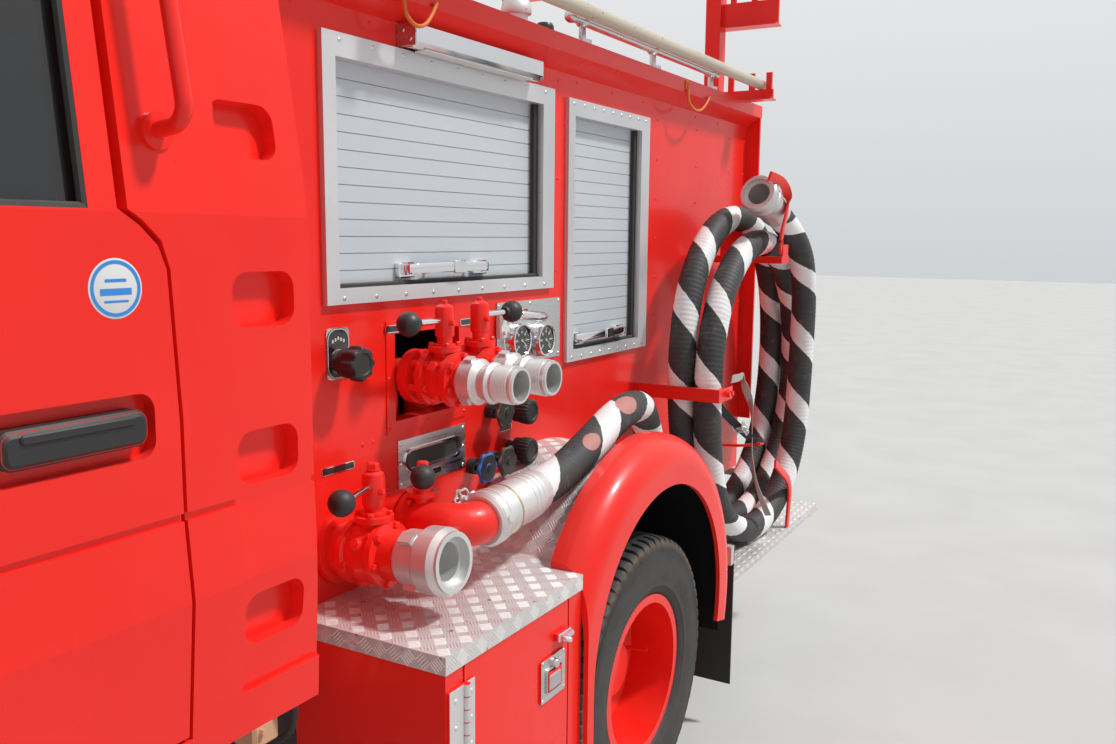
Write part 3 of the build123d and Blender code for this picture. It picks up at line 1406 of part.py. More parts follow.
with BuildPart() as grab_handles:
    low_y = cab_side_y(handle_low_z)
    high_y = cab_side_y(handle_high_z)
    handle_points = [
        (handle_x, low_y - 3, handle_low_z),
        (handle_x, low_y + handle_stand, handle_low_z + 8),
        (handle_x, high_y + handle_stand, handle_high_z - 8),
        (handle_x, high_y - 3, handle_high_z),
    ]
    swept_bar(handle_points, handle_bar_radius, 0.42)
    for foot_y, foot_z in ((low_y, handle_low_z), (high_y, handle_high_z)):
        disc_along_y(handle_x, foot_z, (foot_y - 6, foot_y + 8), 24)
    add(cab_outer, mode=Mode.SUBTRACT)
    both_sides(grab_handles)
finish(grab_handles, "grab_handles")

# Pump between the rails, carried by two bars
pump_x = (rear_axle_x + 400.0, body_front_x - 280.0)
pump_half_width = 290.0
pump_z = (500.0, 690.0)

with BuildPart() as pump_unit:
    with BuildSketch(Plane.YZ.offset(pump_x[0])):
        with Locations((0, (pump_z[0] + pump_z[1]) / 2)):
            RectangleRounded(2 * pump_half_width, pump_z[1] - pump_z[0], 50)
    extrude(amount=pump_x[1] - pump_x[0])
    for carrier_x in (pump_x[0] + 90, pump_x[1] - 90):
        carrier_y = (-rail_web_y, rail_web_y)
        box_between((carrier_x - 25, carrier_x + 25), carrier_y, (rail_z - 20, rail_z + 20))
finish(pump_unit, "pump_unit")

# Outlets and inlets on the side walls
wall_y = body_half_width
outlet_xs = (body_front_x - 518.0, body_front_x - 652.0)
outlet_z = 1234.0
outlet_mouth_y = 847.0
outlet_bore_radius = 32.5
outlet_seat_y = 706.0
stem_y = 650.0
riser_back = 84.0
ball_radius = 21.0
inlet_x = body_front_x - 280.0
inlet_z = 910.0
inlet_tilt = 4.0
inlet_wall_radius = 72.0
inlet_seat_along = 178.0
inlet_mouth_along = 292.0
inlet_bore_radius = 38.0
elbow_x = body_front_x - 407.0
elbow_z = 945.0
elbow_pipe_radius = 46.0
elbow_end = Vector(elbow_x - 56.0, 780.0, elbow_z)
cuff_end = Vector(elbow_x - 279.0, 780.0, elbow_z + 17.0)
inlet_axis = Vector(0, cos(radians(inlet_tilt)), sin(radians(inlet_tilt)))
inlet_foot = Vector(inlet_x, wall_y, inlet_z - 145 * tan(radians(inlet_tilt)))


def lever(stem_x, stem_side_y, stem_radius, ball):
    """Add a level rod from the side of an upright stem to its ball, and the ball."""
    run = Vector(ball[0] - stem_x, ball[1] - stem_side_y, 0)
    start = Vector(stem_x, stem_side_y, ball[2]) + run.normalized() * (stem_radius + fit_gap)
    with Locations(Plane(origin=start, z_dir=run)):
        Cylinder(7, run.length - stem_radius, align=(Align.CENTER, Align.CENTER, Align.MIN))
    with Locations(ball):
        Sphere(ball_radius)


with BuildPart() as valves:
    for outlet_x in outlet_xs:
        outlet_points = [
            (0, -riser_back),
            (36, -riser_back),
            (36, 8),
            (60, 8),
            (60, 34),
            (42, 38),
            (38, 50),
            (44, 56),
            (60, 56),
            (60, 70),
            (50, 74),
            (54, 95),
            (50, 116),
            (60, 120),
            (60, 136),
            (40, 140),
            (40, outlet_seat_y - wall_y),
            (0, outlet_seat_y - wall_y),
        ]
        turned_about((outlet_x, wall_y, outlet_z), (0, 1, 0), (1, 0, 0), outlet_points)
        post_along_z(outlet_x, wall_y - riser_back, (body_bottom_z + body_wall, outlet_z), 36)
        with Locations((outlet_x, wall_y - riser_back, outlet_z)):
            Sphere(36)
        post_along_z(outlet_x, stem_y, (outlet_z, outlet_z + 76), 24)
        post_along_z(outlet_x, stem_y, (outlet_z + 60, outlet_z + 72), 36)
        post_along_z(outlet_x, stem_y, (outlet_z, outlet_z + 148), 17)
    inlet_points = [
        (0, 0),
        (inlet_wall_radius, 0),
        (inlet_wall_radius, 12),
        (56, 16),
        (54, 40),
        (66, 44),
        (66, 58),
        (60, 62),
        (64, 90),
        (60, 116),
        (66, 120),
        (66, 134),
        (52, 138),
        (50, inlet_seat_along),
        (0, inlet_seat_along),
    ]
    turned_about(inlet_foot, inlet_axis, (1, 0, 0), inlet_points)
    inlet_stem_y = wall_y + 92
    post_along_z(inlet_x, inlet_stem_y, (inlet_z, inlet_z + 84), 28)
    post_along_z(inlet_x, inlet_stem_y, (inlet_z + 64, inlet_z + 76), 40)
    post_along_z(inlet_x, inlet_stem_y, (inlet_z, inlet_z + 150), 18)
    wall_cut_x = (inlet_x - 100, inlet_x + 100)
    box_between(wall_cut_x, (wall_y - 30, wall_y), (inlet_z - 100, inlet_z + 100), Mode.SUBTRACT)
    elbow_bend = elbow_x - elbow_end.X
    elbow_points = [
        (elbow_x, wall_y, elbow_z),
        (elbow_x, elbow_end.Y, elbow_z),
        (elbow_end.X, elbow_end.Y, elbow_z),
    ]
    with BuildLine() as elbow_line:
        straight = Line(elbow_points[0], (elbow_x, elbow_end.Y - elbow_bend, elbow_z))
        turn_middle = (
            elbow_end.X + elbow_bend * sin(radians(45)),
            elbow_end.Y - elbow_bend * (1 - sin(radians(45))),
            elbow_z,
        )
        ThreePointArc(straight @ 1, turn_middle, elbow_points[2])
    with BuildSketch(Plane(origin=elbow_points[0], z_dir=(0, 1, 0))) as elbow_section:
        Circle(elbow_pipe_radius)
    sweep(elbow_section.sketch, path=elbow_line.wires()[0])
    for flange_y, flange_radius in ((wall_y, 54), (wall_y + 70, 64), (wall_y + 88, 64)):
        disc_along_y(elbow_x, elbow_z, (flange_y, flange_y + 13), flange_radius)
    post_along_z(elbow_x, wall_y + 118, (elbow_z, elbow_z + 72), 22)
    post_along_z(elbow_x, wall_y + 118, (elbow_z + 56, elbow_z + 66), 34)
    post_along_z(elbow_x, wall_y + 118, (elbow_z, elbow_z + 114), 14)
    both_sides(valves)
finish(valves, "valves")

# Valve levers: a bright rod with a black ball at its end
# columns: stem's x, y and radius, ball's centre
lever_rows = (
    (outlet_xs[0], stem_y, 17.0, (outlet_xs[0] + 123.0, 650.0, outlet_z + 128)),
    (outlet_xs[1], stem_y, 17.0, (outlet_xs[1] - 128.0, 655.0, outlet_z + 131)),
    (inlet_x, inlet_stem_y, 18.0, (inlet_x + 140.0, 690.0, inlet_z + 138)),
    (elbow_x, wall_y + 118, 14.0, (elbow_x + 35.0, 700.0, elbow_z + 105)),
)

with BuildPart() as valve_levers:
    for stem_x, stem_side_y, stem_radius, ball in lever_rows:
        lever(stem_x, stem_side_y, stem_radius, ball)
    both_sides(valve_levers)
finish(valve_levers, "valve_levers")

# Couplings: turned rings with lugs, bored where a hose goes on, and one on the hose's free end
hose_mouth = Vector(tail_x + 724.0, 822.0, 1698.0)
hose_end_axis = Vector(0.93, -0.08, 0.36).normalized()
end_coupling_length = 190.0
hose_tail = hose_mouth - hose_end_axis * end_coupling_length

with BuildPart() as couplings:
    outlet_length = outlet_mouth_y - outlet_seat_y
    for outlet_x in outlet_xs:
        mouth_points = [
            (0, 0),
            (46, 0),
            (50, 6),
            (50, 38),
            (44, 42),
            (38, 50),
            (38, 62),
            (45, 68),
            (45, 74),
            (38, 80),
            (40, outlet_length - 6),
            (38, outlet_length),
            (outlet_bore_radius, outlet_length),
            (outlet_bore_radius, 30),
            (0, 30),
        ]
        seat = (outlet_x, outlet_seat_y + fit_gap, outlet_z)
        turned_about(seat, (0, 1, 0), (1, 0, 0), mouth_points)
        with BuildSketch(Plane(origin=(outlet_x, outlet_seat_y + 12, outlet_z), z_dir=(0, 1, 0))) as lugs:
            with PolarLocations(50, 3, 20):
                Rectangle(12, 18)
        extrude(lugs.sketch, amount=20)
    inlet_length = inlet_mouth_along - inlet_seat_along
    ring_points = [
        (0, 0),
        (52, 0),
        (56, 6),
        (56, 46),
        (62, 52),
        (67, 58),
        (67, inlet_length - 20),
        (60, inlet_length - 6),
        (60, inlet_length),
        (50, inlet_length),
        (50, inlet_length - 18),
        (inlet_bore_radius, inlet_length - 18),
        (inlet_bore_radius, 30),
        (0, 30),
    ]
    ring_seat = inlet_foot + inlet_axis * (inlet_seat_along + fit_gap)
    turned_about(ring_seat, inlet_axis, (1, 0, 0), ring_points)
    with BuildSketch(Plane(origin=ring_seat + inlet_axis * 14, z_dir=inlet_axis)) as lugs:
        with PolarLocations(58, 3, 35):
            Rectangle(14, 26)
    extrude(lugs.sketch, amount=30)
    cuff_axis = cuff_end - Vector(elbow_end.X, elbow_end.Y, elbow_z)
    cuff_length = cuff_axis.length
    cuff_gap = fit_gap + elbow_pipe_radius * sin(radians(cuff_axis.get_angle(Vector(-1, 0, 0))))
    cuff_points = [
        (0, cuff_gap),
        (54, cuff_gap),
        (60, cuff_gap + 6),
        (60, 46),
        (54, 52),
        (54, 70),
        (57, 76),
        (57, 92),
        (54, 98),
        (54, cuff_length - 30),
        (50, cuff_length),
        (0, cuff_length),
    ]
    turned_about(Vector(elbow_end.X, elbow_end.Y, elbow_z), cuff_axis, (0, 1, 0), cuff_points)
    both_sides(couplings)
    end_points = [
        (0, fit_gap),
        (50, fit_gap),
        (53, 30),
        (53, 96),
        (60, 102),
        (60, 128),
        (54, 134),
        (54, 150),
        (66, 158),
        (66, end_coupling_length - 8),
        (60, end_coupling_length),
        (50, end_coupling_length),
        (50, end_coupling_length - 14),
        (inlet_bore_radius, end_coupling_length - 14),
        (inlet_bore_radius, 50),
        (0, 50),
    ]
    turned_about(hose_tail, hose_end_axis, (0, 1, 0), end_points)
finish(couplings, "couplings")

# Plates on the side walls: round the outlets' cut-out, behind the gauges and round the slot
plate_y = (wall_y, wall_y + 3.0)
gauge_panel_x = (rear_axle_x - 101.0, rear_axle_x + 217.0)
gauge_panel_z = (1211.0, 1376.0)
slot_plate_x = (body_front_x - 722.0, body_front_x - 468.0)
slot_plate_z = (982.0, 1092.0)
slot_x = (slot_plate_x[0] + 25.0, slot_plate_x[1] - 27.0)
slot_z = 1042.0
dial_plate_x = body_front_x - 283.0
dial_plate_z = 1306.0

with BuildPart() as outlet_bay_frames:
    box_between(bay_x, plate_y, bay_z)
    bay_hole_x = (bay_x[0] + bay_border, bay_x[1] - bay_border)
    bay_hole_z = (bay_z[0] + bay_border, bay_z[1] - bay_border)
    box_between(bay_hole_x, (wall_y - 1, wall_y + 5), bay_hole_z, Mode.SUBTRACT)
    both_sides(outlet_bay_frames)
finish(outlet_bay_frames, "outlet_bay_frames")

with BuildPart() as panel_plates:
    box_between(gauge_panel_x, plate_y, gauge_panel_z)
    box_between(slot_plate_x, plate_y, slot_plate_z)
    slot_length = slot_x[1] - slot_x[0]
    with BuildSketch(Plane.XZ.offset(-(wall_y + 6))):
        with Locations(((slot_x[0] + slot_x[1]) / 2, slot_z)):
            SlotOverall(slot_length, 40)
    extrude(amount=10, mode=Mode.SUBTRACT)
    with BuildSketch(Plane.XZ.offset(-(wall_y + 3))):
        with Locations((dial_plate_x, dial_plate_z)):
            RectangleRounded(66, 104, 10)
    extrude(amount=3)
    both_sides(panel_plates)
finish(panel_plates, "panel_plates")

# Controls on the side walls: gauges, knobs and hand wheels
gauge_radius = 43.0
# columns: x, height, and for a knob the face it stands on
gauge_places = ((rear_axle_x + 139.0, 1276.0), (rear_axle_x + 17.0, 1268.0))
knob_places = (
    (dial_plate_x + 7.0, 1290.0, plate_y[1]),
    (rear_axle_x + 157.0, 994.0, wall_y),
    (rear_axle_x + 157.0, 1096.0, wall_y),
)
handwheel_places = (
    (rear_axle_x + 332.0, 981.0),
    (rear_axle_x + 242.0, 981.0),
    (rear_axle_x + 252.0, 1108.0),
)
knob_radius = 30.0

with BuildPart() as panel_controls:
    for gauge_x, gauge_z in gauge_places:
        disc_along_y(gauge_x, gauge_z, (plate_y[1] + fit_gap, plate_y[1] + 24), gauge_radius)
    for knob_x, knob_z, seat_y in knob_places:
        disc_along_y(knob_x, knob_z, (seat_y + fit_gap, seat_y + 30), 14)
        disc_along_y(knob_x, knob_z, (seat_y + 24, seat_y + 72), knob_radius)
    for hand_x, hand_z in handwheel_places:
        disc_along_y(hand_x, hand_z, (wall_y + fit_gap, wall_y + 60), 9)
        disc_along_y(hand_x, hand_z, (wall_y + fit_gap, wall_y + 20), 20)
        disc_along_y(hand_x, hand_z, (wall_y + 44, wall_y + 56), 32)
    both_sides(panel_controls)
finish(panel_controls, "panel_controls")

# Hose rack on each side: a saddle under the coil's top and a hoop round its front strands
hose_radius = 45.5
lane_pitch = 92.0
first_lane_y = wall_y + hose_radius + 0.6
coil_middle_x = tail_x + 568.0
coil_radius = 477.0
coil_low_z = board_top_z + hose_radius + 0.5 + coil_radius
coil_high_z = 1135.0
second_high_z = 1050.0
saddle_half = 42.0
saddle_gap = 1.6

with BuildPart() as hose_hooks:
    saddle_x = (coil_middle_x - saddle_half, coil_middle_x + saddle_half)
    second_top = second_high_z + coil_radius - hose_radius - saddle_gap
    first_top = coil_high_z + coil_radius - hose_radius - saddle_gap
    second_lane_y = first_lane_y + lane_pitch
    box_between(saddle_x, (wall_y, second_lane_y + lane_pitch + 95), (second_top - 24, second_top))
    box_between(saddle_x, (second_lane_y - 40, second_lane_y + 40), (second_top - 1, first_top))
    plate_z = (coil_low_z - 60, second_top)
    box_between((coil_middle_x - 45, coil_middle_x + 45), (wall_y, wall_y + 8), plate_z)
    stop_y = second_lane_y + lane_pitch + 87
    box_between((coil_middle_x - 30, coil_middle_x + 30), (stop_y, stop_y + 8), (second_top - 24, second_top + 42))
    hoop_x = coil_middle_x + coil_radius + hose_radius + 2
    hoop_y = second_lane_y + lane_pitch + hose_radius + 9
    box_between((hoop_x, hoop_x + 12), (wall_y, hoop_y + 12), (1030, 1072))
    box_between((hoop_x - 2 * hose_radius - 16, hoop_x + 12), (hoop_y, hoop_y + 12), (1030, 1072))
    both_sides(hose_hooks)
finish(hose_hooks, "hose_hooks")

# Suction hose, left side only: from the inlet's cuff over the wheel and twice round the rack
last_radius = 367.5
last_middle_x = coil_middle_x + coil_radius - last_radius
last_low_z = board_top_z + hose_radius + 0.5 + last_radius
corner_turn = 45.0
# columns: middle x, middle z, radius, first corner's angle, y at its start, y gained on the way
half_turns = (
    (coil_middle_x, coil_low_z, coil_radius, -22.5, first_lane_y, lane_pitch),
    (coil_middle_x, coil_high_z, coil_radius, -202.5, first_lane_y + lane_pitch, 0.0),
    (coil_middle_x, coil_low_z, coil_radius, -22.5, first_lane_y + lane_pitch, lane_pitch),
    (coil_middle_x, second_high_z, coil_radius, -202.5, first_lane_y + 2 * lane_pitch, 0.0),
    (last_middle_x, last_low_z, last_radius, -22.5, first_lane_y + 2 * lane_pitch, lane_pitch),
)

hose_points = [
    tuple(cuff_end),
    tuple(cuff_end + (cuff_end - Vector(elbow_end.X, elbow_end.Y, elbow_z)).normalized() * 100),
    (-930, 784, 1024),
    (-1100, 776, 1076),
    (-1290, 744, 1072),
    (-1490, 672, 1000),
]
for middle_x, middle_z, radius, first_angle, start_y, gain_y in half_turns:
    corner_radius = radius / cos(radians(corner_turn / 2))
    for corner in range(4):
        angle = radians(first_angle - corner * corner_turn)
        corner_y = start_y + gain_y * (corner + 0.5) / 4
        hose_points.append((middle_x + corner_radius * cos(angle), corner_y, middle_z + corner_radius * sin(angle)))
hose_points.append((-2452, 879, 1175))
hose_points.append((-2446, 880, 1365))
hose_points.append((-2388, 878, 1500))
hose_points.append(tuple(hose_tail - hose_end_axis * 84))
hose_points.append(tuple(hose_tail))

with BuildPart() as suction_hose:
    with BuildLine() as hose_route:
        hose_radii = held_route(hose_points)
    with BuildSketch(Plane(origin=hose_points[0], z_dir=Vector(*hose_points[1]) - Vector(*hose_points[0]))) as hose_section:
        Circle(hose_radius)
    sweep(hose_section.sketch, path=hose_route.wires()[0])
finish(suction_hose, "suction_hose")
print("hose radii", [round(radius) for radius in hose_radii])
hose_length = sum(edge.length for edge in hose_route.edges())
print("hose length", round(hose_length), "volume share", round(suction_hose.part.volume / (pi * hose_radius**2 * hose_length), 4))

# Roof rails: a tube on three feet along each edge of the roof
roof_rail_y = cornice_y - cornice_lip / 2
roof_rail_z = 2130.0
roof_rail_radius = 15.0
roof_rail_x = (tail_x + 525.0, rear_axle_x - 105.0)
stanchion_xs = (rear_axle_x - 168.0, rear_axle_x - 632.0, tail_x + 572.0)

with BuildPart() as roof_rails:
    bar_along_x(roof_rail_y, roof_rail_z, roof_rail_x, roof_rail_radius)
    for stanchion_x in stanchion_xs:
        post_along_z(stanchion_x, roof_rail_y, (cornice_top_z, roof_rail_z), 10)
        post_along_z(stanchion_x, roof_rail_y, (cornice_top_z, cornice_top_z + 12), 26)
        with Locations((stanchion_x, roof_rail_y, roof_rail_z)):
            Sphere(21)
    for end_x in roof_rail_x:
        with Locations((end_x, roof_rail_y, roof_rail_z)):
            Sphere(19)
    both_sides(roof_rails)
finish(roof_rails, "roof_rails")

# Ladder rack at the tail: two posts, tied across, with stepped brackets for poles and ladders
post_x = tail_x + 250.0
rack_post_y = (440.0, 500.0)
rack_top_z = 2600.0
lower_bracket_z = (2035.0, 2105.0)
upper_bracket_z = (2338.0, 2433.0)
pole_y = 659.0
pole_radius = 19.0
pole_z = lower_bracket_z[1] + pole_radius + fit_gap
cradle_x = body_front_x - 440.0

with BuildPart() as ladder_rack:
    box_between((post_x - 30, post_x + 30), rack_post_y, (deck_z, rack_top_z))
    box_between((post_x - 60, post_x + 60), (rack_post_y[0] - 30, rack_post_y[1] + 30), (deck_z, deck_z + 8))
    for bracket_z, reach_y in ((lower_bracket_z, 710.0), (upper_bracket_z, 720.0)):
        low_z = max(bracket_z[0], cornice_top_z + fit_gap)
        box_between((post_x - 6, post_x + 6), (rack_post_y[1] - 1, reach_y), (low_z, bracket_z[1]))
        box_between((post_x - 34, post_x + 34), (rack_post_y[1] - 1, reach_y), (low_z, low_z + 6))
        for fork_y in (rack_post_y[1] + 30, pole_y - pole_radius - 26, pole_y + pole_radius + 4):
            fork_z = (bracket_z[1] - 1, bracket_z[1] + 62)
            box_between((post_x - 6, post_x + 6), (fork_y, fork_y + 22), fork_z)
    both_sides(ladder_rack)
    cradle_span = (cradle_x - 25, cradle_x + 25)
    box_between(cradle_span, (cornice_y - 50, pole_y + 34), (cornice_top_z, cornice_top_z + 8))
    prop_z = (cornice_top_z + 7, pole_z - pole_radius - fit_gap)
    box_between(cradle_span, (pole_y - 18, pole_y + 18), prop_z)
    box_between(cradle_span, (pole_y + 22, pole_y + 34), (cornice_top_z + 7, pole_z + 10))
    box_between((post_x - 20, post_x + 20), (-rack_post_y[0] - 1, rack_post_y[0] + 1), (rack_top_z - 60, rack_top_z - 20))
finish(ladder_rack, "ladder_rack")

# Pole carried on the left of the roof, on the rack's lower fork and the front cradle
pole_x = (tail_x + 160.0, body_front_x - 20.0)

with BuildPart() as roof_poles:
    bar_along_x(pole_y, pole_z, pole_x, pole_radius)
finish(roof_poles, "roof_poles")
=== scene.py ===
"""Looks of the light fire pump truck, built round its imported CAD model.

Places and routes are in metres: X runs to the truck's front, Y to its left and Z up, and the ground is z = 0.
Sizes of the small shapes (turned, flat, ring and bar shapes) are in millimetres.
"""

import fnmatch
import math

import bmesh
import bpy
import numpy as np
from mathutils import Matrix, Vector


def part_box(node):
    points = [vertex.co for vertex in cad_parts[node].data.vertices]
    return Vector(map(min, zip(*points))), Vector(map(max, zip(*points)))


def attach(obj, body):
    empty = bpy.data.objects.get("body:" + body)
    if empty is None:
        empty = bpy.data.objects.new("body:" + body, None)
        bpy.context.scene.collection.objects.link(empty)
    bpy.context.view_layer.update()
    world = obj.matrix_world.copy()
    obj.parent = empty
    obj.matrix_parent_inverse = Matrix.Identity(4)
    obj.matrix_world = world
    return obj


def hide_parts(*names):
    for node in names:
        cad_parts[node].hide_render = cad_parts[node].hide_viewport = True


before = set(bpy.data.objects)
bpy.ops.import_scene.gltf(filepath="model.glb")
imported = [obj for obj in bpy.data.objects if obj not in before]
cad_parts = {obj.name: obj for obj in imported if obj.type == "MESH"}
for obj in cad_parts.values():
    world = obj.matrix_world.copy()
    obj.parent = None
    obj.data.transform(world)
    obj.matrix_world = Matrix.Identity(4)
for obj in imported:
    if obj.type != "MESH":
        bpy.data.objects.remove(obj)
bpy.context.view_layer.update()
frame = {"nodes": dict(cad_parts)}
cad = frame["nodes"]

# Stage and camera
# The floor is a plain pale slab under an even sky, with one soft sun high on the left.
# The camera stands beside the cab and looks back along the body, as a person would.
photo_width = 1116.0
focal_pixels = 981.4
camera_place = Vector((1.2209, 1.9233, 1.5458))
yaw, pitch, roll = (math.radians(angle) for angle in (29.896, 7.911, 0.547))
sun_strength = 2.7
sky_light = 0.46

ahead = -Vector((math.cos(pitch) * math.cos(yaw), math.cos(pitch) * math.sin(yaw), math.sin(pitch)))
level = ahead.cross(Vector((0, 0, 1))).normalized()
right = Matrix.Rotation(-roll, 3, ahead) @ level
camera_data = bpy.data.cameras.new("camera")
camera_data.sensor_width = 36.0
camera_data.lens = focal_pixels * camera_data.sensor_width / photo_width
camera_data.clip_end = 100.0
camera = bpy.data.objects.new("camera", camera_data)
turn = Matrix((right, right.cross(ahead), -ahead)).transposed()
camera.matrix_world = Matrix.Translation(camera_place) @ turn.to_4x4()
bpy.context.collection.objects.link(camera)
bpy.context.scene.camera = camera
bpy.context.scene.view_settings.view_transform = "Standard"

sun_data = bpy.data.lights.new("sun", "SUN")
sun_data.energy = sun_strength
sun_data.angle = math.radians(6.0)
sun = bpy.data.objects.new("sun", sun_data)
sun.rotation_euler = Vector((0.35, -0.62, -1.0)).to_track_quat("-Z", "Y").to_euler()
bpy.context.collection.objects.link(sun)


class Value:
    """What one output of a shader node gives; sums on it are written as on numbers."""

    def __init__(self, nodes, socket):
        self.nodes = nodes
        self.socket = socket

    def maths(self, operation, other=0.5):
        """One sum on this value and another."""
        return self.nodes.add("Math", {0: self, 1: other}, operation=operation)

    def __add__(self, other):
        return self.maths("ADD", other)

    def __sub__(self, other):
        return self.maths("SUBTRACT", other)

    def __mul__(self, other):
        return self.maths("MULTIPLY", other)

    def __truediv__(self, other):
        return self.maths("DIVIDE", other)

    def spread(self, low, high, to_low=0.0, to_high=1.0):
        """This value carried from the range low to high into another range, and held inside it."""
        limits = {"Value": self, "From Min": low, "From Max": high, "To Min": to_low, "To Max": to_high}
        return self.nodes.add("MapRange", limits)


class Nodes:
    """A node tree that is built up one node at a time."""

    def __init__(self, tree):
        self.tree = tree

    def feed(self, node, sockets):
        """Give sockets of a node their values or links."""
        for socket, value in sockets.items():
            if isinstance(value, Value):
                self.tree.links.new(value.socket, node.inputs[socket])
            else:
                node.inputs[socket].default_value = value

    def shade(self, sockets):
        """Give sockets of the material's shader their values or links."""
        self.feed(self.tree.nodes["Principled BSDF"], sockets)

    def add(self, kind, sockets=None, output=0, **settings):
        """A new node with its own settings and inputs, as the value of one of its outputs."""
        node = self.tree.nodes.new("ShaderNode" + kind)
        for name, value in settings.items():
            setattr(node, name, value)
        self.feed(node, sockets or {})
        return Value(self, node.outputs[output])

    def place(self, stretch=(1, 1, 1)):
        """The object's own coordinates in metres, stretched along the axes."""
        return self.add("Mapping", {"Vector": self.add("TexCoord", output="Object"), "Scale": stretch})

    def part(self, vector, axis):
        """One of a vector's three parts."""
        return self.add("SeparateXYZ", {0: vector}, axis)

    def noise(self, place, scale, detail=4.0, low=0.35, high=0.65):
        """A cloudy pattern from 0 to 1, with what lies under low black and over high white."""
        cloud = self.add("TexNoise", {"Vector": place, "Scale": scale, "Detail": detail}, "Fac")
        return cloud.spread(low, high)

    def mix(self, share, first, second):
        """A colour between two others."""
        first, second = (value if isinstance(value, Value) else (*value, 1.0) for value in (first, second))
        return self.add("Mix", {0: share, 6: first, 7: second}, 2, data_type="RGBA")

    def bump(self, height, strength, distance):
        """Tilt the shader's normal by a height pattern."""
        self.shade({"Normal": self.add("Bump", {"Height": height, "Strength": strength, "Distance": distance})})


def new_material(name):
    """A material and the builder of its nodes."""
    material = bpy.data.materials.new(name)
    material.use_nodes = True
    return material, Nodes(material.node_tree)


world = bpy.data.worlds.new("sky")
bpy.context.scene.world = world
world.use_nodes = True
sky = Nodes(world.node_tree)
camera_ray, glossy_ray, clear_ray = (
    sky.add("LightPath", output=f"Is {kind} Ray") for kind in ("Camera", "Glossy", "Transmission"))
direction = sky.part(sky.add("TexCoord", output="Generated"), "Z")
sky.feed(world.node_tree.nodes["Background"], {
    "Color": sky.mix(direction.spread(-0.05, 0.6), (0.62, 0.64, 0.66), (1.0, 1.0, 1.0)),
    "Strength": (camera_ray + glossy_ray + clear_ray).spread(0.0, 1.0, sky_light, 1.0),
})

floor_mesh = bpy.data.meshes.new("floor")
floor_mesh.from_pydata([(-40, -40, 0), (40, -40, 0), (40, 40, 0), (-40, 40, 0)], [], [(0, 1, 2, 3)])
floor = bpy.data.objects.new("floor", floor_mesh)
bpy.context.collection.objects.link(floor)
floor_material, nodes = new_material("floor_concrete")
patches = nodes.noise(nodes.place(), 2.2, 8.0)
nodes.shade({"Base Color": nodes.mix(patches, (0.585, 0.585, 0.575), (0.62, 0.62, 0.61)), "Roughness": 0.85})
floor_mesh.materials.append(floor_material)


# Red paint
# The cab, the body and the pump's castings are sprayed in one glossy fire red over primer.
# It has dust on what faces up, fine grit, and a slightly uneven gloss.
def painted(name, colour, second, rough=(0.22, 0.4), coat=0.0, metal=0.0, grit=None, dust=None, skin=None,
            patch=2.5, stretch=(1, 1, 1), shine=0.5):
    """A finish of two close colours in soft patches, with grit specks, dust on top and a fine skin.

    grit is (colour, specks per metre, share left bare), dust is (colour, most cover),
    skin is (bumps per metre, strength, depth).
    """
    material, nodes = new_material(name)
    place = nodes.place(stretch)
    patches = nodes.noise(place, patch, 6.0)
    shown = nodes.mix(patches, colour, second)
    gloss = patches.spread(0.0, 1.0, *rough)
    if grit:
        speck_colour, speck_scale, bare = grit
        specks = nodes.noise(place, speck_scale, 2.0, bare, bare + 0.06)
        shown = nodes.mix(specks, shown, speck_colour)
        gloss = gloss.maths("MAXIMUM", specks * 0.7)
    if dust:
        dust_colour, cover = dust
        facing_up = nodes.part(nodes.add("NewGeometry", output="Normal"), "Z")
        lying = facing_up.spread(0.2, 1.0, 0.12 * cover, cover) * nodes.noise(place, 7.0, 8.0, 0.3, 0.75)
        shown = nodes.mix(lying, shown, dust_colour)
        gloss = gloss + lying * 0.5
    nodes.shade({"Base Color": shown, "Roughness": gloss, "Metallic": metal, "Coat Weight": coat,
                 "Coat Roughness": 0.08, "Specular IOR Level": shine})
    if skin:
        bumps, strength, depth = skin
        nodes.bump(nodes.noise(place, bumps, 3.0, 0.2, 0.8), strength, depth)
    return material


def dress(material, *patterns):
    """Give the CAD nodes whose names match a pattern a material of this scene."""
    for pattern in patterns:
        for name in fnmatch.filter(cad, pattern):
            mesh = cad[name].data
            mesh.materials.clear()
            mesh.materials.append(material)


fire_red = (0.95, 0.021, 0.012)
deep_red = (0.88, 0.016, 0.009)
rust = (0.16, 0.03, 0.015)
road_dust = (0.42, 0.33, 0.27)
red_paint = painted("fire_red_paint", fire_red, deep_red, (0.26, 0.36), coat=0.18,
                    grit=(rust, 260.0, 0.78), dust=(road_dust, 0.10), skin=(140.0, 0.03, 0.0006), shine=0.28)
cast_red = painted("cast_red_paint", fire_red, deep_red, (0.28, 0.42), coat=0.12,
                   grit=(rust, 180.0, 0.74), dust=(road_dust, 0.14), skin=(90.0, 0.35, 0.0012), patch=9.0,
                   shine=0.35)
dress(red_paint, "cab_shell", "front_bumper", "body_shell", "body_roof", "side_lockers", "rear_fenders",
      "grab_handles", "ladder_rack", "hose_hooks", "outlet_bay_frames", "wheel*", "locker_door*", "door_[fr]*")
dress(cast_red, "valves")

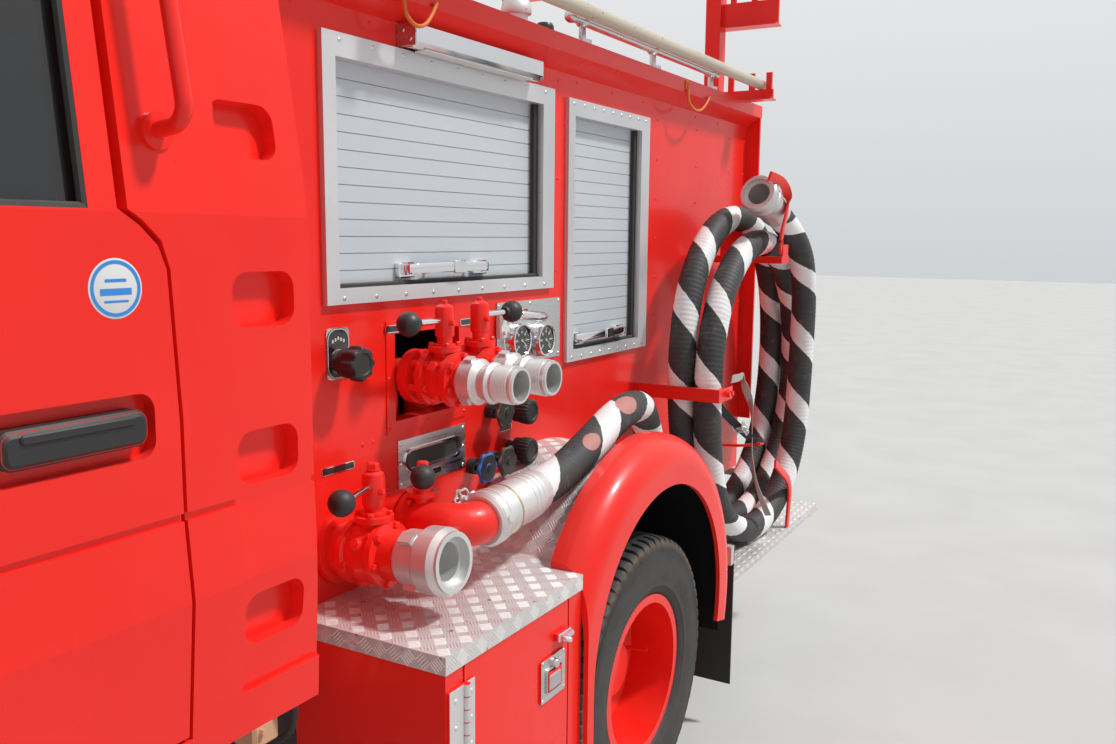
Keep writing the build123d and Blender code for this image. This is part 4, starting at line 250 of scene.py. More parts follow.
# Chassis parts
# Rails, axles, springs, tank and engine are brushed with black chassis paint over rough steel.
# Road dirt lies on them, and the pump below the body is bare cast iron.
chassis_black = painted("chassis_black", (0.018, 0.018, 0.02), (0.03, 0.028, 0.026), (0.45, 0.7),
                        grit=((0.12, 0.06, 0.035), 60.0, 0.68), dust=((0.2, 0.17, 0.14), 0.5),
                        skin=(120.0, 0.3, 0.001))
cast_iron = painted("cast_iron", (0.10, 0.10, 0.105), (0.16, 0.155, 0.15), (0.5, 0.75), metal=0.5,
                    grit=((0.18, 0.08, 0.04), 45.0, 0.64), skin=(220.0, 0.5, 0.001))
dress(chassis_black, "frame_rails", "front_axle", "knuckle*", "rear_axle", "leaf_springs", "power_train",
      "fuel_tank", "subframe")
dress(cast_iron, "pump_unit")

# Bright metal
# Frames and couplings are anodised or machined aluminium, plates are brushed stainless steel,
# and handles are chromed.
aluminium = painted("aluminium", (0.60, 0.61, 0.62), (0.68, 0.69, 0.70), (0.38, 0.5), metal=0.55,
                    grit=((0.3, 0.28, 0.26), 90.0, 0.74), skin=(400.0, 0.06, 0.0003))
machined = painted("machined_aluminium", (0.64, 0.64, 0.63), (0.72, 0.72, 0.71), (0.38, 0.52),
                   metal=0.62, grit=((0.35, 0.33, 0.3), 120.0, 0.73), skin=(500.0, 0.05, 0.0002))
stainless = painted("brushed_stainless", (0.56, 0.56, 0.56), (0.68, 0.68, 0.68), (0.2, 0.34),
                    metal=1.0, skin=(30.0, 0.12, 0.0003), stretch=(1, 1, 30))
chrome = painted("chrome", (0.80, 0.80, 0.82), (0.74, 0.74, 0.76), (0.05, 0.12), metal=1.0,
                 grit=((0.3, 0.25, 0.2), 300.0, 0.78))
dress(aluminium, "shutter_frames")
dress(machined, "couplings")
dress(stainless, "panel_plates", "roof_rails")
dress(chrome, "work_lamps", "valve_levers")

# Shutters
# Each curtain is a column of hollow grey aluminium slats that hook into each other.
# The anodised skin is matt, with a faint bloom of dust.
slat_grey = painted("shutter_slats", (0.56, 0.60, 0.64), (0.61, 0.65, 0.69), (0.42, 0.55), metal=0.25,
                    dust=((0.5, 0.47, 0.42), 0.3), skin=(60.0, 0.05, 0.0004), stretch=(0.2, 1, 1))
dress(slat_grey, "shutter_curtains")

# Black plastic and rubber
# Mirrors, grille, dashboard, knobs and mud flaps are moulded black, greyed by sun and dust.
black_plastic = painted("black_plastic", (0.012, 0.012, 0.013), (0.02, 0.02, 0.021),
                        (0.35, 0.55), dust=((0.25, 0.22, 0.2), 0.25), skin=(700.0, 0.15, 0.0003))
black_rubber = painted("black_rubber", (0.016, 0.016, 0.016), (0.028, 0.027, 0.026), (0.6, 0.8),
                       dust=((0.25, 0.22, 0.18), 0.4), skin=(300.0, 0.2, 0.0005))
seat_cloth = painted("seat_cloth", (0.05, 0.055, 0.065), (0.07, 0.075, 0.085), (0.8, 0.95),
                     skin=(900.0, 0.4, 0.0006))
dress(black_plastic, "mirrors", "front_grille", "dashboard", "steering_wheel", "panel_controls")
dress(black_rubber, "mud_flaps", "suction_hose", "tyre*")
dress(seat_cloth, "cab_seats")


# Glass and lamps
# The cab's glass is tinted grey; lamps have clear lenses over chrome, and the light bar is red.
def glazed(name, tint, seen_through, rough=0.03):
    """Coated glass: a tinted skin that lets part of the light through."""
    material, nodes = new_material(name)
    haze = nodes.noise(nodes.place(), 5.0, 6.0)
    nodes.shade({"Base Color": nodes.mix(haze, tint, [value * 0.85 for value in tint]), "Coat Weight": 0.6,
                 "Alpha": 1.0 - seen_through, "Roughness": haze.spread(0.0, 1.0, rough, rough + 0.05)})
    return material


dress(glazed("tinted_glass", (0.02, 0.024, 0.026), 0.3), "cab_glass", "door_glass*")
dress(glazed("lamp_glass", (0.75, 0.77, 0.78), 0.1), "road_lamps")
dress(glazed("red_lens", (0.55, 0.01, 0.008), 0.1), "light_bar")

# Roof pole
# The long pole beside the roof rack is a wooden one, painted beige.
pole_paint = painted("pole_paint", (0.55, 0.48, 0.38), (0.62, 0.56, 0.46), (0.4, 0.6),
                     grit=((0.2, 0.15, 0.1), 70.0, 0.7), skin=(80.0, 0.2, 0.0006))
dress(pole_paint, "roof_poles")

# Suction hose
# A rubber hose with a wire coil in its wall shows as close ribs, and a white band is wound round it.
# It leaves the inlet's cuff, lies over the wheel and is hung in two and a half turns on its rack.
def grid_faces(rows, columns, round_rows=False, round_columns=False):
    """The quads between neighbours of a grid whose points are numbered row by row."""
    row = np.arange(rows if round_rows else rows - 1)[:, None]
    column = np.arange(columns if round_columns else columns - 1)[None, :]
    next_row = (row + 1) % rows
    next_column = (column + 1) % columns
    corners = (row * columns + column, row * columns + next_column,
               next_row * columns + next_column, next_row * columns + column)
    return np.stack(corners, -1).reshape(-1, 4).tolist()


def skin(rings, loop=False, ends=True):
    """Points and faces of a shape given as rings: quads between neighbours, and flat faces over both ends."""
    rows, columns = rings.shape[:2]
    faces = grid_faces(rows, columns, loop, True)
    if ends:
        faces += [list(range(columns)), list(range((rows - 1) * columns, rows * columns))]
    return rings.reshape(-1, 3), faces


def new_piece(name, points, faces, material, body="chassis", slot=None, smooth=True, merge=1e-5):
    """A mesh piece whose doubles are merged and whose faces point outwards, riding on a body."""
    mesh = bpy.data.meshes.new(name)
    mesh.from_pydata(np.asarray(points, float).reshape(-1, 3).tolist(), [], faces)
    if merge:
        shell = bmesh.new()
        shell.from_mesh(mesh)
        bmesh.ops.remove_doubles(shell, verts=shell.verts, dist=merge)
        bmesh.ops.dissolve_degenerate(shell, dist=merge, edges=shell.edges)
        bmesh.ops.recalc_face_normals(shell, faces=shell.faces)
        shell.to_mesh(mesh)
        shell.free()
    mesh.polygons.foreach_set("use_smooth", np.full(len(mesh.polygons), smooth))
    mesh.materials.append(material)
    piece = bpy.data.objects.new(name, mesh)
    bpy.context.collection.objects.link(piece)
    if smooth:
        mesh.set_sharp_from_angle(angle=math.radians(38))
    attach(piece, body)
    return piece


def spline_points(controls, per_run):
    """Points along the smooth line that has these control points, as Blender's NURBS curve gives it."""
    data = bpy.data.curves.new("route", "CURVE")
    data.dimensions = "3D"
    spline = data.splines.new("NURBS")
    spline.points.add(len(controls) - 1)
    for point, place in zip(spline.points, controls):
        point.co = (*place, 1.0)
    spline.order_u = 3
    spline.use_endpoint_u = True
    spline.resolution_u = per_run
    carrier = bpy.data.objects.new("route", data)
    line = bpy.data.meshes.new_from_object(carrier)
    path = np.empty(len(line.vertices) * 3)
    line.vertices.foreach_get("co", path)
    bpy.data.objects.remove(carrier)
    bpy.data.meshes.remove(line)
    return path.reshape(-1, 3)


def unit(vectors):
    """The same directions at a length of one."""
    vectors = np.asarray(vectors, float)
    return vectors / np.linalg.norm(vectors, axis=-1, keepdims=True)


def even_steps(path, step):
    """The same line with points one step apart, and the length along it at each."""
    lengths = np.concatenate(([0.0], np.cumsum(np.linalg.norm(np.diff(path, axis=0), axis=1))))
    along = np.linspace(0.0, lengths[-1], int(round(lengths[-1] / step)) + 1)
    return np.stack([np.interp(along, lengths, path[:, axis]) for axis in range(3)], 1), along


def tube_rings(path, radius, sides):
    """Circles round a line: two directions across it are carried along without twist, from Y at its start."""
    ahead_of = unit(np.gradient(path, axis=0))
    across = np.empty_like(path)
    side = np.array((0.0, 1.0, 0.0))
    for index, forward in enumerate(ahead_of):
        side = unit(side - forward * side.dot(forward))
        across[index] = side
    turn = np.linspace(0, 2 * np.pi, sides, endpoint=False)[None, :, None]
    reach = np.broadcast_to(radius, len(path))[:, None, None]
    over = np.cross(ahead_of, across)
    return path[:, None] + reach * (np.cos(turn) * across[:, None] + np.sin(turn) * over[:, None])


hose_radius = 0.0455
coil_middle_x = -2.192
coil_radius = 0.477
# columns: middle x, middle z, radius, first corner's angle, y at its start, y gained on the way
half_turns = (
    (coil_middle_x, 0.998, coil_radius, -22.5, 0.6011, 0.092),
    (coil_middle_x, 1.135, coil_radius, -202.5, 0.6931, 0.0),
    (coil_middle_x, 0.998, coil_radius, -22.5, 0.6931, 0.092),
    (coil_middle_x, 1.050, coil_radius, -202.5, 0.7851, 0.0),
    (-2.0825, 0.8885, 0.3675, -22.5, 0.7851, 0.092),
)
hose_end_axis = unit((0.93, -0.08, 0.36))
hose_tail = np.array((-2.036, 0.822, 1.698)) - hose_end_axis * 0.190
hose_points = [(-0.666, 0.780, 0.962), (-0.7657, 0.780, 0.9696), (-0.930, 0.784, 1.024),
               (-1.100, 0.776, 1.076), (-1.290, 0.744, 1.072), (-1.490, 0.672, 1.000)]
for middle_x, middle_z, turn_radius, first_angle, start_y, gain_y in half_turns:
    reach = turn_radius / math.cos(math.radians(22.5))
    for corner in range(4):
        angle = math.radians(first_angle - corner * 45.0)
        hose_points.append((middle_x + reach * math.cos(angle), start_y + gain_y * (corner + 0.5) / 4,
                            middle_z + reach * math.sin(angle)))
hose_points += [(-2.452, 0.879, 1.175), (-2.446, 0.880, 1.365), (-2.388, 0.878, 1.500)]
hose_points += [tuple(hose_tail - hose_end_axis * 0.084), tuple(hose_tail)]

rib_pitch = 0.015
rib_depth = 0.0011
rib_steps = 4
hose_sides = 32
hose_path, hose_along = even_steps(spline_points(hose_points, 24), rib_pitch / rib_steps)
rib = rib_depth * (0.5 - 0.5 * np.cos(2 * np.pi * (hose_along / rib_pitch)))
hose_rubber, nodes = new_material("hose_rubber")
hose_shape = skin(tube_rings(hose_path, hose_radius - rib, hose_sides), ends=False)
hose = new_piece("suction_hose_ribbed", *hose_shape, hose_rubber, merge=None)
column = np.arange(hose_sides)
around = np.stack([column, column + 1, column + 1, column], -1) / hose_sides
around = np.broadcast_to(around[None], (len(hose_path) - 1, hose_sides, 4))
low_high = np.stack([hose_along[:-1], hose_along[:-1], hose_along[1:], hose_along[1:]], -1)
low_high = np.broadcast_to(low_high[:, None, :], around.shape)
hose_uv = hose.data.uv_layers.new(name="UVMap")
hose_uv.data.foreach_set("uv", np.stack([around, low_high], -1).astype(np.float32).ravel())

band_lead = 0.256
open_length = 0.9
open_slack = 0.87
band_share = 0.33
band_start = 0.582
place = nodes.place()
wrap = nodes.add("UVMap")
share_round = nodes.part(wrap, "X")
from_cuff = nodes.part(wrap, "Y")
ragged = nodes.noise(place, 40.0, 4.0, 0.2, 0.8) * 0.02
# the band is wound more openly in the first stretch from the cuff
slack = from_cuff.maths("MINIMUM", open_length) * open_slack
turns = from_cuff / band_lead + share_round - slack
phase = (turns + ragged + band_start).maths("FRACT")
band = (phase - 0.5).maths("ABSOLUTE").spread(band_share / 2, band_share / 2 + 0.008, 1.0, 0.0)
scuffs = nodes.noise(place, 30.0, 8.0, 0.58, 0.72)
rubber = nodes.mix(nodes.noise(place, 6.0, 6.0), (0.030, 0.030, 0.032), (0.050, 0.049, 0.048))
rubber = nodes.mix(scuffs * 0.5, rubber, (0.12, 0.115, 0.11))
white = nodes.mix(nodes.noise(place, 12.0, 8.0), (0.90, 0.91, 0.91), (0.80, 0.81, 0.81))
white = nodes.mix(scuffs * 0.22, white, (0.35, 0.33, 0.31))
shown = nodes.mix(band, rubber, white)
# columns: metres from the cuff, share of the way round, half length, half width as a share
red_patches = ((0.235, 0.865, 0.034, 0.085), (0.455, 0.855, 0.055, 0.110))
for patch_along, patch_around, patch_long, patch_wide in red_patches:
    step = (from_cuff - patch_along) / patch_long
    swing = (share_round - patch_around) / patch_wide
    far = step * step + swing * swing + ragged * 8.0
    shown = nodes.mix(far.spread(0.9, 1.05, 0.9, 0.0), shown, (0.56, 0.25, 0.21))
nodes.shade({"Base Color": shown, "Roughness": band.spread(0.0, 1.0, 0.62, 0.5)})
nodes.bump(nodes.noise(place, 400.0, 3.0, 0.2, 0.8), 0.2, 0.0005)
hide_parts("suction_hose")

# Tyres
# Light-truck tyres: two pairs of grooves run round the tread and short ones cut its shoulders.
# The walls bulge over the rims and are dull with brown road dirt, most of all along the shoulder.
axle_height = 0.3775
tread_pitches = 64
shoulder_cut = 0.0075
# columns: millimetres from the tyre's middle, radius, depth of the cross grooves as a share
half_tyre = np.array((
    (0, 377.5, 0), (20.5, 377.5, 0), (22.5, 369.5, 0), (27.5, 369.5, 0), (29.5, 377.3, 0), (48, 376.8, 0),
    (50, 369, 0), (54.5, 369, 0), (56, 376.4, 1), (72, 375.2, 1), (86, 371.5, 1), (91.5, 365, 1),
    (93.8, 357, 0.7), (96.8, 345, 0), (97.5, 343.2, 0), (99, 342.5, 0), (100.5, 325, 0), (102.2, 305, 0),
    (102.4, 286, 0), (99.8, 264, 0), (96, 248, 0), (96.6, 245, 0), (94, 242, 0), (89.5, 231, 0),
    (85, 224.5, 0), (76.8, 221.4, 0), (75.7, 206, 0),
)) * (0.001, 0.001, 1)
tyre_profile = np.concatenate((half_tyre[::-1] * (-1, 1, 1), half_tyre[1:]))


def tyre_shell(middle_x, middle_y):
    """One tyre: the profile turned about the axle, with the radius less in each cross groove."""
    share = np.array((0.0, 0.05, 0.62, 0.67))
    turn = ((np.arange(tread_pitches)[:, None] + share) * 2 * np.pi / tread_pitches).ravel()[:, None]
    cut = np.tile((0.0, 1.0, 1.0, 0.0), tread_pitches)[:, None] < 0.5
    side, radius, depth = tyre_profile.T
    reach = radius - shoulder_cut * cut * depth
    shell = np.stack((middle_x + reach * np.cos(turn), middle_y + np.broadcast_to(side, reach.shape),
                      axle_height + reach * np.sin(turn)), -1)
    return skin(shell, loop=True, ends=False)


tyre_rubber, nodes = new_material("tyre_rubber")
place = nodes.place()
out = nodes.part(nodes.add("UVMap"), "Y")
blotch = nodes.noise(place, 14.0, 8.0, 0.35, 0.7)
edge = out.spread(0.345, 0.358) * out.spread(0.372, 0.363)
wall = out.spread(0.35, 0.31) * blotch.spread(0.0, 1.0, 0.15, 0.6)
shown = nodes.mix(nodes.noise(place, 30.0, 4.0), (0.018, 0.018, 0.019), (0.032, 0.031, 0.030))
shown = nodes.mix(wall, shown, (0.085, 0.078, 0.068))
shown = nodes.mix(edge * blotch.spread(0.0, 1.0, 0.35, 0.8), shown, (0.16, 0.12, 0.085))
nodes.shade({"Base Color": shown, "Roughness": blotch.spread(0.0, 1.0, 0.62, 0.85)})
nodes.bump(nodes.noise(place, 260.0, 4.0, 0.2, 0.8), 0.25, 0.0006)


def joined(shapes):
    """Several shapes as one: their points in a row, and their faces with the corners counted on."""
    starts = np.cumsum([0] + [len(points) for points, faces in shapes])
    corners = [[corner + start for corner in face] for (points, faces), start in zip(shapes, starts.tolist())
               for face in faces]
    return np.concatenate([points for points, faces in shapes]), corners


for side_name, side in (("left", 1), ("right", -1)):
    for node_name, body_name, axle_x, middles in (
        (f"tyre_front_{side_name}", f"front_{side_name}_wheel", 1.740, (0.735,)),
        (f"tyres_rear_{side_name}", f"rear_{side_name}_wheels", -1.060, (0.8035, 0.5685)),
    ):
        shape = joined([tyre_shell(axle_x, side * middle) for middle in middles])
        tyre = new_piece(node_name + "_treaded", *shape, tyre_rubber, body_name)
        corners = np.empty(len(tyre.data.loops), np.int32)
        tyre.data.loops.foreach_get("vertex_index", corners)
        places = np.empty(len(tyre.data.vertices) * 3)
        tyre.data.vertices.foreach_get("co", places)
        offset = places.reshape(-1, 3) - (axle_x, 0, axle_height)
        turn_and_radius = np.stack((np.arctan2(offset[:, 2], offset[:, 0]) / (2 * np.pi),
                                    np.hypot(offset[:, 0], offset[:, 2])), -1)
        uv = tyre.data.uv_layers.new(name="UVMap")
        uv.data.foreach_set("uv", turn_and_radius[corners].astype(np.float32).ravel())
        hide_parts(node_name)

# Tread plates
# The locker's lid and the deck over the wheel are rolled aluminium plate.
# Its raised bars stand in groups of five, each group at right angles to its neighbours.
bar_cell = 0.0325
group_size = 5
# one bar along its first axis: a six-sided foot and a ridge, times half its length and width and its height
bar_shape = np.array(((-1, 0, 0), (-0.72, -1, 0), (0.72, -1, 0), (1, 0, 0), (0.72, 1, 0), (-0.72, 1, 0),
                      (-0.7, 0, 1), (0.7, 0, 1))) * (0.0136, 0.0018, 0.0011)
bar_faces = ((0, 1, 6), (1, 2, 7, 6), (2, 3, 7), (3, 4, 7), (4, 5, 6, 7), (5, 0, 6))


def repeat_faces(faces, size, points):
    """The same faces for each shape of size points in a row of points."""
    return [[corner + start for corner in face] for start in range(0, len(points), size) for face in faces]


def bar_field(length, width, cell=bar_cell):
    """Bars on a flat sheet: an array of copies by points by (along, across, height)."""
    columns = int(length / cell)
    rows = max(1, int(width / cell))
    column, row, member = (axis.ravel() for axis in np.meshgrid(
        np.arange(columns), np.arange(rows), np.arange(group_size), indexing="ij"))
    offset = (member - (group_size - 1) / 2) * cell / (group_size + 0.3)
    tilt = np.where((column + row) % 2 == 1, np.pi / 4, -np.pi / 4)
    along = np.stack((np.cos(tilt), np.sin(tilt)), -1)
    across = np.stack((-np.sin(tilt), np.cos(tilt)), -1)
    middle = np.stack(((column + 0.5) * length / columns, (row + 0.5) * width / rows), -1)
    middle += across * offset[:, None]
    flat = middle[:, None] + bar_shape[:, :1] * along[:, None] + bar_shape[:, 1:2] * across[:, None]
    return np.concatenate((flat, np.broadcast_to(bar_shape[:, 2:], flat.shape[:2] + (1,))), -1)


plate_top = 0.800
deck_middle_x, deck_middle_z = -1.060, 0.506
deck_radius = 0.480
deck_angles = np.radians((38.5, 141.5))
sink = 0.0002
lid_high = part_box("tread_plates")[1]


def laid(bars, origin, first, second, outward):
    """Bars or studs on a flat face: its length runs along first, its width along second."""
    return np.asarray(origin) + bars @ np.array((first, second, outward), float) - sink * np.array(outward)


def laid_on_deck(bars, start_y):
    """The deck is an arc about the wheel, so the sheet's length becomes an angle."""
    angle = deck_angles[0] + bars[..., 0] / deck_radius
    out = deck_radius - sink + bars[..., 2]
    return np.stack((deck_middle_x + out * np.cos(angle), start_y + bars[..., 1],
                     deck_middle_z + out * np.sin(angle)), -1)


def both_sides(fields):
    """All points of some fields and their mirror image on the right."""
    points = np.concatenate([field.reshape(-1, 3) for field in fields])
    return np.concatenate((points, points * (1, -1, 1)))


lid_bars = both_sides([
    laid(bar_field(0.368, 0.031, 0.031), (lid_high.x, 0.558, 0.7665), (0, 1, 0), (0, 0, 1), (1, 0, 0)),
    laid(bar_field(0.048, 0.284), (-0.678, 0.558, plate_top), (1, 0, 0), (0, 1, 0), (0, 0, 1)),
    laid(bar_field(0.508, 0.368), (-0.628, 0.558, plate_top), (1, 0, 0), (0, 1, 0), (0, 0, 1)),
    laid_on_deck(bar_field(deck_radius * (deck_angles[1] - deck_angles[0]), 0.284), 0.558),
    laid(bar_field(0.506, 0.031, 0.031), (-0.628, lid_high.y, 0.7665), (1, 0, 0), (0, 0, 1), (0, 1, 0)),
])
plate_metal = painted("tread_plate_metal", (0.62, 0.60, 0.59), (0.74, 0.72, 0.71), (0.42, 0.58),
                      metal=0.45, grit=((0.25, 0.2, 0.17), 70.0, 0.66), dust=((0.42, 0.37, 0.33), 0.35),
                      skin=(160.0, 0.2, 0.0005))
worn_bars = painted("tread_plate_bars", (0.70, 0.69, 0.68), (0.80, 0.79, 0.78), (0.34, 0.46),
                    metal=0.5, grit=((0.4, 0.36, 0.32), 120.0, 0.7))
lid_faces = repeat_faces(bar_faces, len(bar_shape), lid_bars)
new_piece("tread_plate_bars", lid_bars, lid_faces, worn_bars, smooth=False)
dress(plate_metal, "tread_plates", "rear_platform")

# Rear footboards
# The boards beside the tail and the step across it are aluminium planks with raised oval studs.
# The studs stand in staggered rows on the top and on the outer edge.
def about_z(radius, turn, height):
    """Points at a radius, turn and height about Z; the three may be arrays that fit each other."""
    return np.stack(np.broadcast_arrays(radius * np.cos(turn), radius * np.sin(turn), height), -1)


stud_pitch = 0.052
stud_row = 0.026
stud_sides = 10
stud_turn = np.arange(stud_sides) * 2 * np.pi / stud_sides
stud_rings = about_z(np.array(((1.0,), (0.8,), (0.4,))), stud_turn, ((0.0,), (0.7,), (1.0,)))
stud, stud_faces = skin(stud_rings * (0.0168, 0.0085, 0.0022), ends=False)
stud_faces.append(list(range(2 * stud_sides, 3 * stud_sides)))


def stud_field(length, width):
    """Studs on a flat sheet, every other row moved half a pitch."""
    columns = int(length / stud_pitch)
    rows = max(1, int(width / stud_row))
    column, row = (axis.ravel() for axis in np.meshgrid(np.arange(columns), np.arange(rows), indexing="ij"))
    along = (column + 0.25 + np.where(row % 2 == 1, 0.5, 0.0)) * length / columns
    return np.stack((along, (row + 0.5) * width / rows, 0.0 * along), -1)[:, None] + stud


board_studs = np.concatenate((both_sides([
    laid(stud_field(1.000, 0.340), (-2.685, 0.5625, 0.475), (1, 0, 0), (0, 1, 0), (0, 0, 1)),
    laid(stud_field(1.000, 0.028), (-2.685, 0.905, 0.446), (1, 0, 0), (0, 0, 1), (0, 1, 0)),
]), laid(stud_field(1.100, 0.076), (-2.682, -0.550, 0.575), (0, 1, 0), (-1, 0, 0), (0, 0, 1)).reshape(-1, 3)))
stud_metal = painted("footboard_studs", (0.80, 0.79, 0.76), (0.72, 0.70, 0.67), (0.3, 0.5),
                     metal=0.5, grit=((0.35, 0.3, 0.26), 60.0, 0.66))
new_piece("footboard_studs", board_studs, repeat_faces(stud_faces, len(stud), board_studs), stud_metal)

# Pump valves
# Each outlet and inlet is a cast ball valve between bolted flanges, with an upright stem on top.
# The castings and their nuts are sprayed with the body, so the paint lies over a rougher skin.
def turned(profile, sides):
    """A profile of (radius, height) pairs in millimetres, turned about Z."""
    radius, height = np.asarray(profile, float).T[:, :, None] / 1000
    return skin(about_z(radius, np.linspace(0, 2 * np.pi, sides, endpoint=False), height), ends=False)


def rod(radius, length, sides=16):
    """A round rod, in millimetres, that stands on Z = 0."""
    return turned(((0, 0), (radius, 0), (radius, length), (0, length)), sides)


def aimed(direction, roll_hint=(0, 0, 1)):
    """A turn that carries Z onto a direction, as a matrix whose columns are the new axes."""
    axis = unit(direction)
    hint = np.asarray(roll_hint, float)
    if abs(axis.dot(hint)) > 0.95:
        hint = np.array((1.0, 0.0, 0.0))
    side = unit(np.cross(hint, axis))
    return np.stack((side, np.cross(axis, side), axis), 1)


def ring_places(middle, axis, radius, count, start):
    """Places on a circle about an axis, the first at the angle start."""
    turn = start + np.arange(count) * 2 * np.pi / count
    return middle + about_z(radius, turn, 0) @ aimed(axis).T


outward = (0, 1, 0)
upright = None


class Batch:
    """Many small shapes that become one piece, each with its mirror image on the truck's right if so wished."""

    def __init__(self, mirrored=True):
        self.shapes = []
        self.mirrored = mirrored

    def put(self, shape, at=None, facing=outward, hint=(0, 0, 1), mirrored=None):
        """Add a copy of a shape: as it stands, or moved to a place and turned to face a way, unless upright."""
        points, faces = shape
        if at is not None:
            turn = np.eye(3) if facing is upright else aimed(facing, hint).T
            points = points @ turn + np.asarray(at, float)
        self.shapes.append((points, faces))
        if self.mirrored if mirrored is None else mirrored:
            self.shapes.append((points * (1, -1, 1), faces))
        return self

    def grid(self, shape, xs, y, zs):
        """Add a copy at each x and z, facing outwards."""
        for x in xs:
            for z in zs:
                self.put(shape, (x, y, z))
        return self

    def circle(self, shape, facing, *ring):
        """Add a copy at each of the ring_places, all facing the same way."""
        for place in ring_places(*ring):
            self.put(shape, place, facing)

    def shape(self):
        """All that was added, as one shape."""
        return joined(self.shapes)

    def piece(self, name, material, body="chassis", **wishes):
        """One piece of all that was added."""
        return new_piece(name, *self.shape(), material, body, **wishes)

    def pair(self, name, material, body):
        """A piece on the left and its mirror image on the right, each on the body of its own side."""
        points, faces = self.shape()
        for side_name, side in (("left", 1), ("right", -1)):
            new_piece(f"{name}_{side_name}", points * (1, side, 1), faces, material, body.format(side_name))


def hex_head(across, height):
    """A hexagon bolt head with a chamfered top on a round washer."""
    corner = across / math.sqrt(3)
    head = turned(((0, height), (corner * 0.82, height), (corner, height * 0.82), (corner, 0), (0, 0)), 6)
    washer = turned(((0, 1.5), (corner * 1.2, 1.5), (corner * 1.2, 0), (0, 0)), 12)
    return Batch(False).put(head, (0, 0, 0.0015), upright).put(washer).shape()


wall_y = 0.555
outlet_xs = (-0.498, -0.632)
outlet_z = 1.234
stem_y = 0.650
stem_top = outlet_z + 0.148
inlet_x = -0.260
inlet_tilt = math.radians(4.0)
inlet_axis = np.array((0, math.cos(inlet_tilt), math.sin(inlet_tilt)))
inlet_foot = np.array((inlet_x, wall_y, 0.910 - 0.145 * math.tan(inlet_tilt)))
inlet_stem_y = wall_y + 0.092
elbow_x = -0.387
elbow_z = 0.945
flange_nut = hex_head(15, 9)
small_nut = hex_head(11, 7)
large_nut = hex_head(22, 13)
boss = turned(((0, 7), (11, 6), (14, 0), (14, -12), (0, -12)), 16)
outlet_cap = turned(((0, 16), (10, 15), (19, 9), (21.5, 0), (21.5, -52), (19.5, -56), (0, -56)), 24)
inlet_cap = turned(((0, 20), (10, 19), (21, 11), (23.5, 0), (23.5, -52), (20.5, -58), (0, -58)), 24)
castings = Batch()
for outlet_x in outlet_xs:
    for off_wall, way in ((0.034, 1), (0.056, -1), (0.070, 1), (0.120, -1), (0.136, 1)):
        middle = (outlet_x, wall_y + off_wall, outlet_z)
        castings.circle(flange_nut, (0, way, 0), middle, outward, 0.0515, 6, 0.35)
    castings.put(outlet_cap, (outlet_x, stem_y, stem_top), upright)
    castings.put(small_nut, (outlet_x, stem_y, stem_top + 0.015), upright)
    castings.put(small_nut, (outlet_x + 0.004, stem_y + 0.021, stem_top - 0.025))
    castings.circle(small_nut, (0, 0, 1), (outlet_x, stem_y, outlet_z + 0.072), (0, 0, 1), 0.029, 4, 0.8)
    for tilt in (0.6, 2.2, -0.9):
        facing = np.array((math.cos(tilt), 0, math.sin(tilt)))
        castings.put(boss, (outlet_x, wall_y + 0.095, outlet_z) + 0.053 * facing, facing)
for along, way in ((0.058, 1), (0.044, -1), (0.120, -1), (0.134, 1)):
    castings.circle(flange_nut, inlet_axis * way, inlet_foot + inlet_axis * along, inlet_axis, 0.0575, 6, 0.2)
castings.put(inlet_cap, (inlet_x, inlet_stem_y, 1.060), upright)
castings.put(large_nut, (inlet_x, inlet_stem_y, 1.078), upright)
castings.put(small_nut, (inlet_x + 0.004, inlet_stem_y + 0.023, 1.036))
castings.circle(small_nut, upright, (inlet_x, inlet_stem_y, 0.986), (0, 0, 1), 0.032, 4, 0.5)
for tilt in (0.5, 2.0, 3.5, 5.2):
    facing = np.array((math.cos(tilt), 0, math.sin(tilt)))
    castings.put(boss, inlet_foot + inlet_axis * 0.090 + facing * 0.062, facing)
for off_wall in (0.083, 0.101):
    castings.circle(small_nut, outward, (elbow_x, wall_y + off_wall, elbow_z), outward, 0.055, 6, 0.1)
castings.put(large_nut, (elbow_x, wall_y + 0.118, elbow_z + 0.114), upright)
castings.piece("valve_bolts", cast_red)

# Lever balls
# Each bright lever ends in a round black phenolic ball, which is screwed on and has gone dull.
ball = turned([(26.2 * math.sin(angle), -26.2 * math.cos(angle)) for angle in np.linspace(0, math.pi, 17)], 28)
collar = turned(((0, 4), (11.5, 4), (13, 0), (13, -4), (0, -4)), 20)
balls = Batch()
for place, stem in (((-0.375, 0.650, 1.362), (-0.498, 0.650)), ((-0.760, 0.655, 1.365), (-0.632, 0.650)),
                    ((-0.120, 0.690, 1.048), (-0.260, 0.647)), ((-0.352, 0.700, 1.050), (-0.387, 0.673))):
    back = unit((stem[0] - place[0], stem[1] - place[1], 0.0))
    balls.put(ball, place, back).put(collar, place + back * 0.0265, back)
balls.piece("lever_balls", black_plastic)


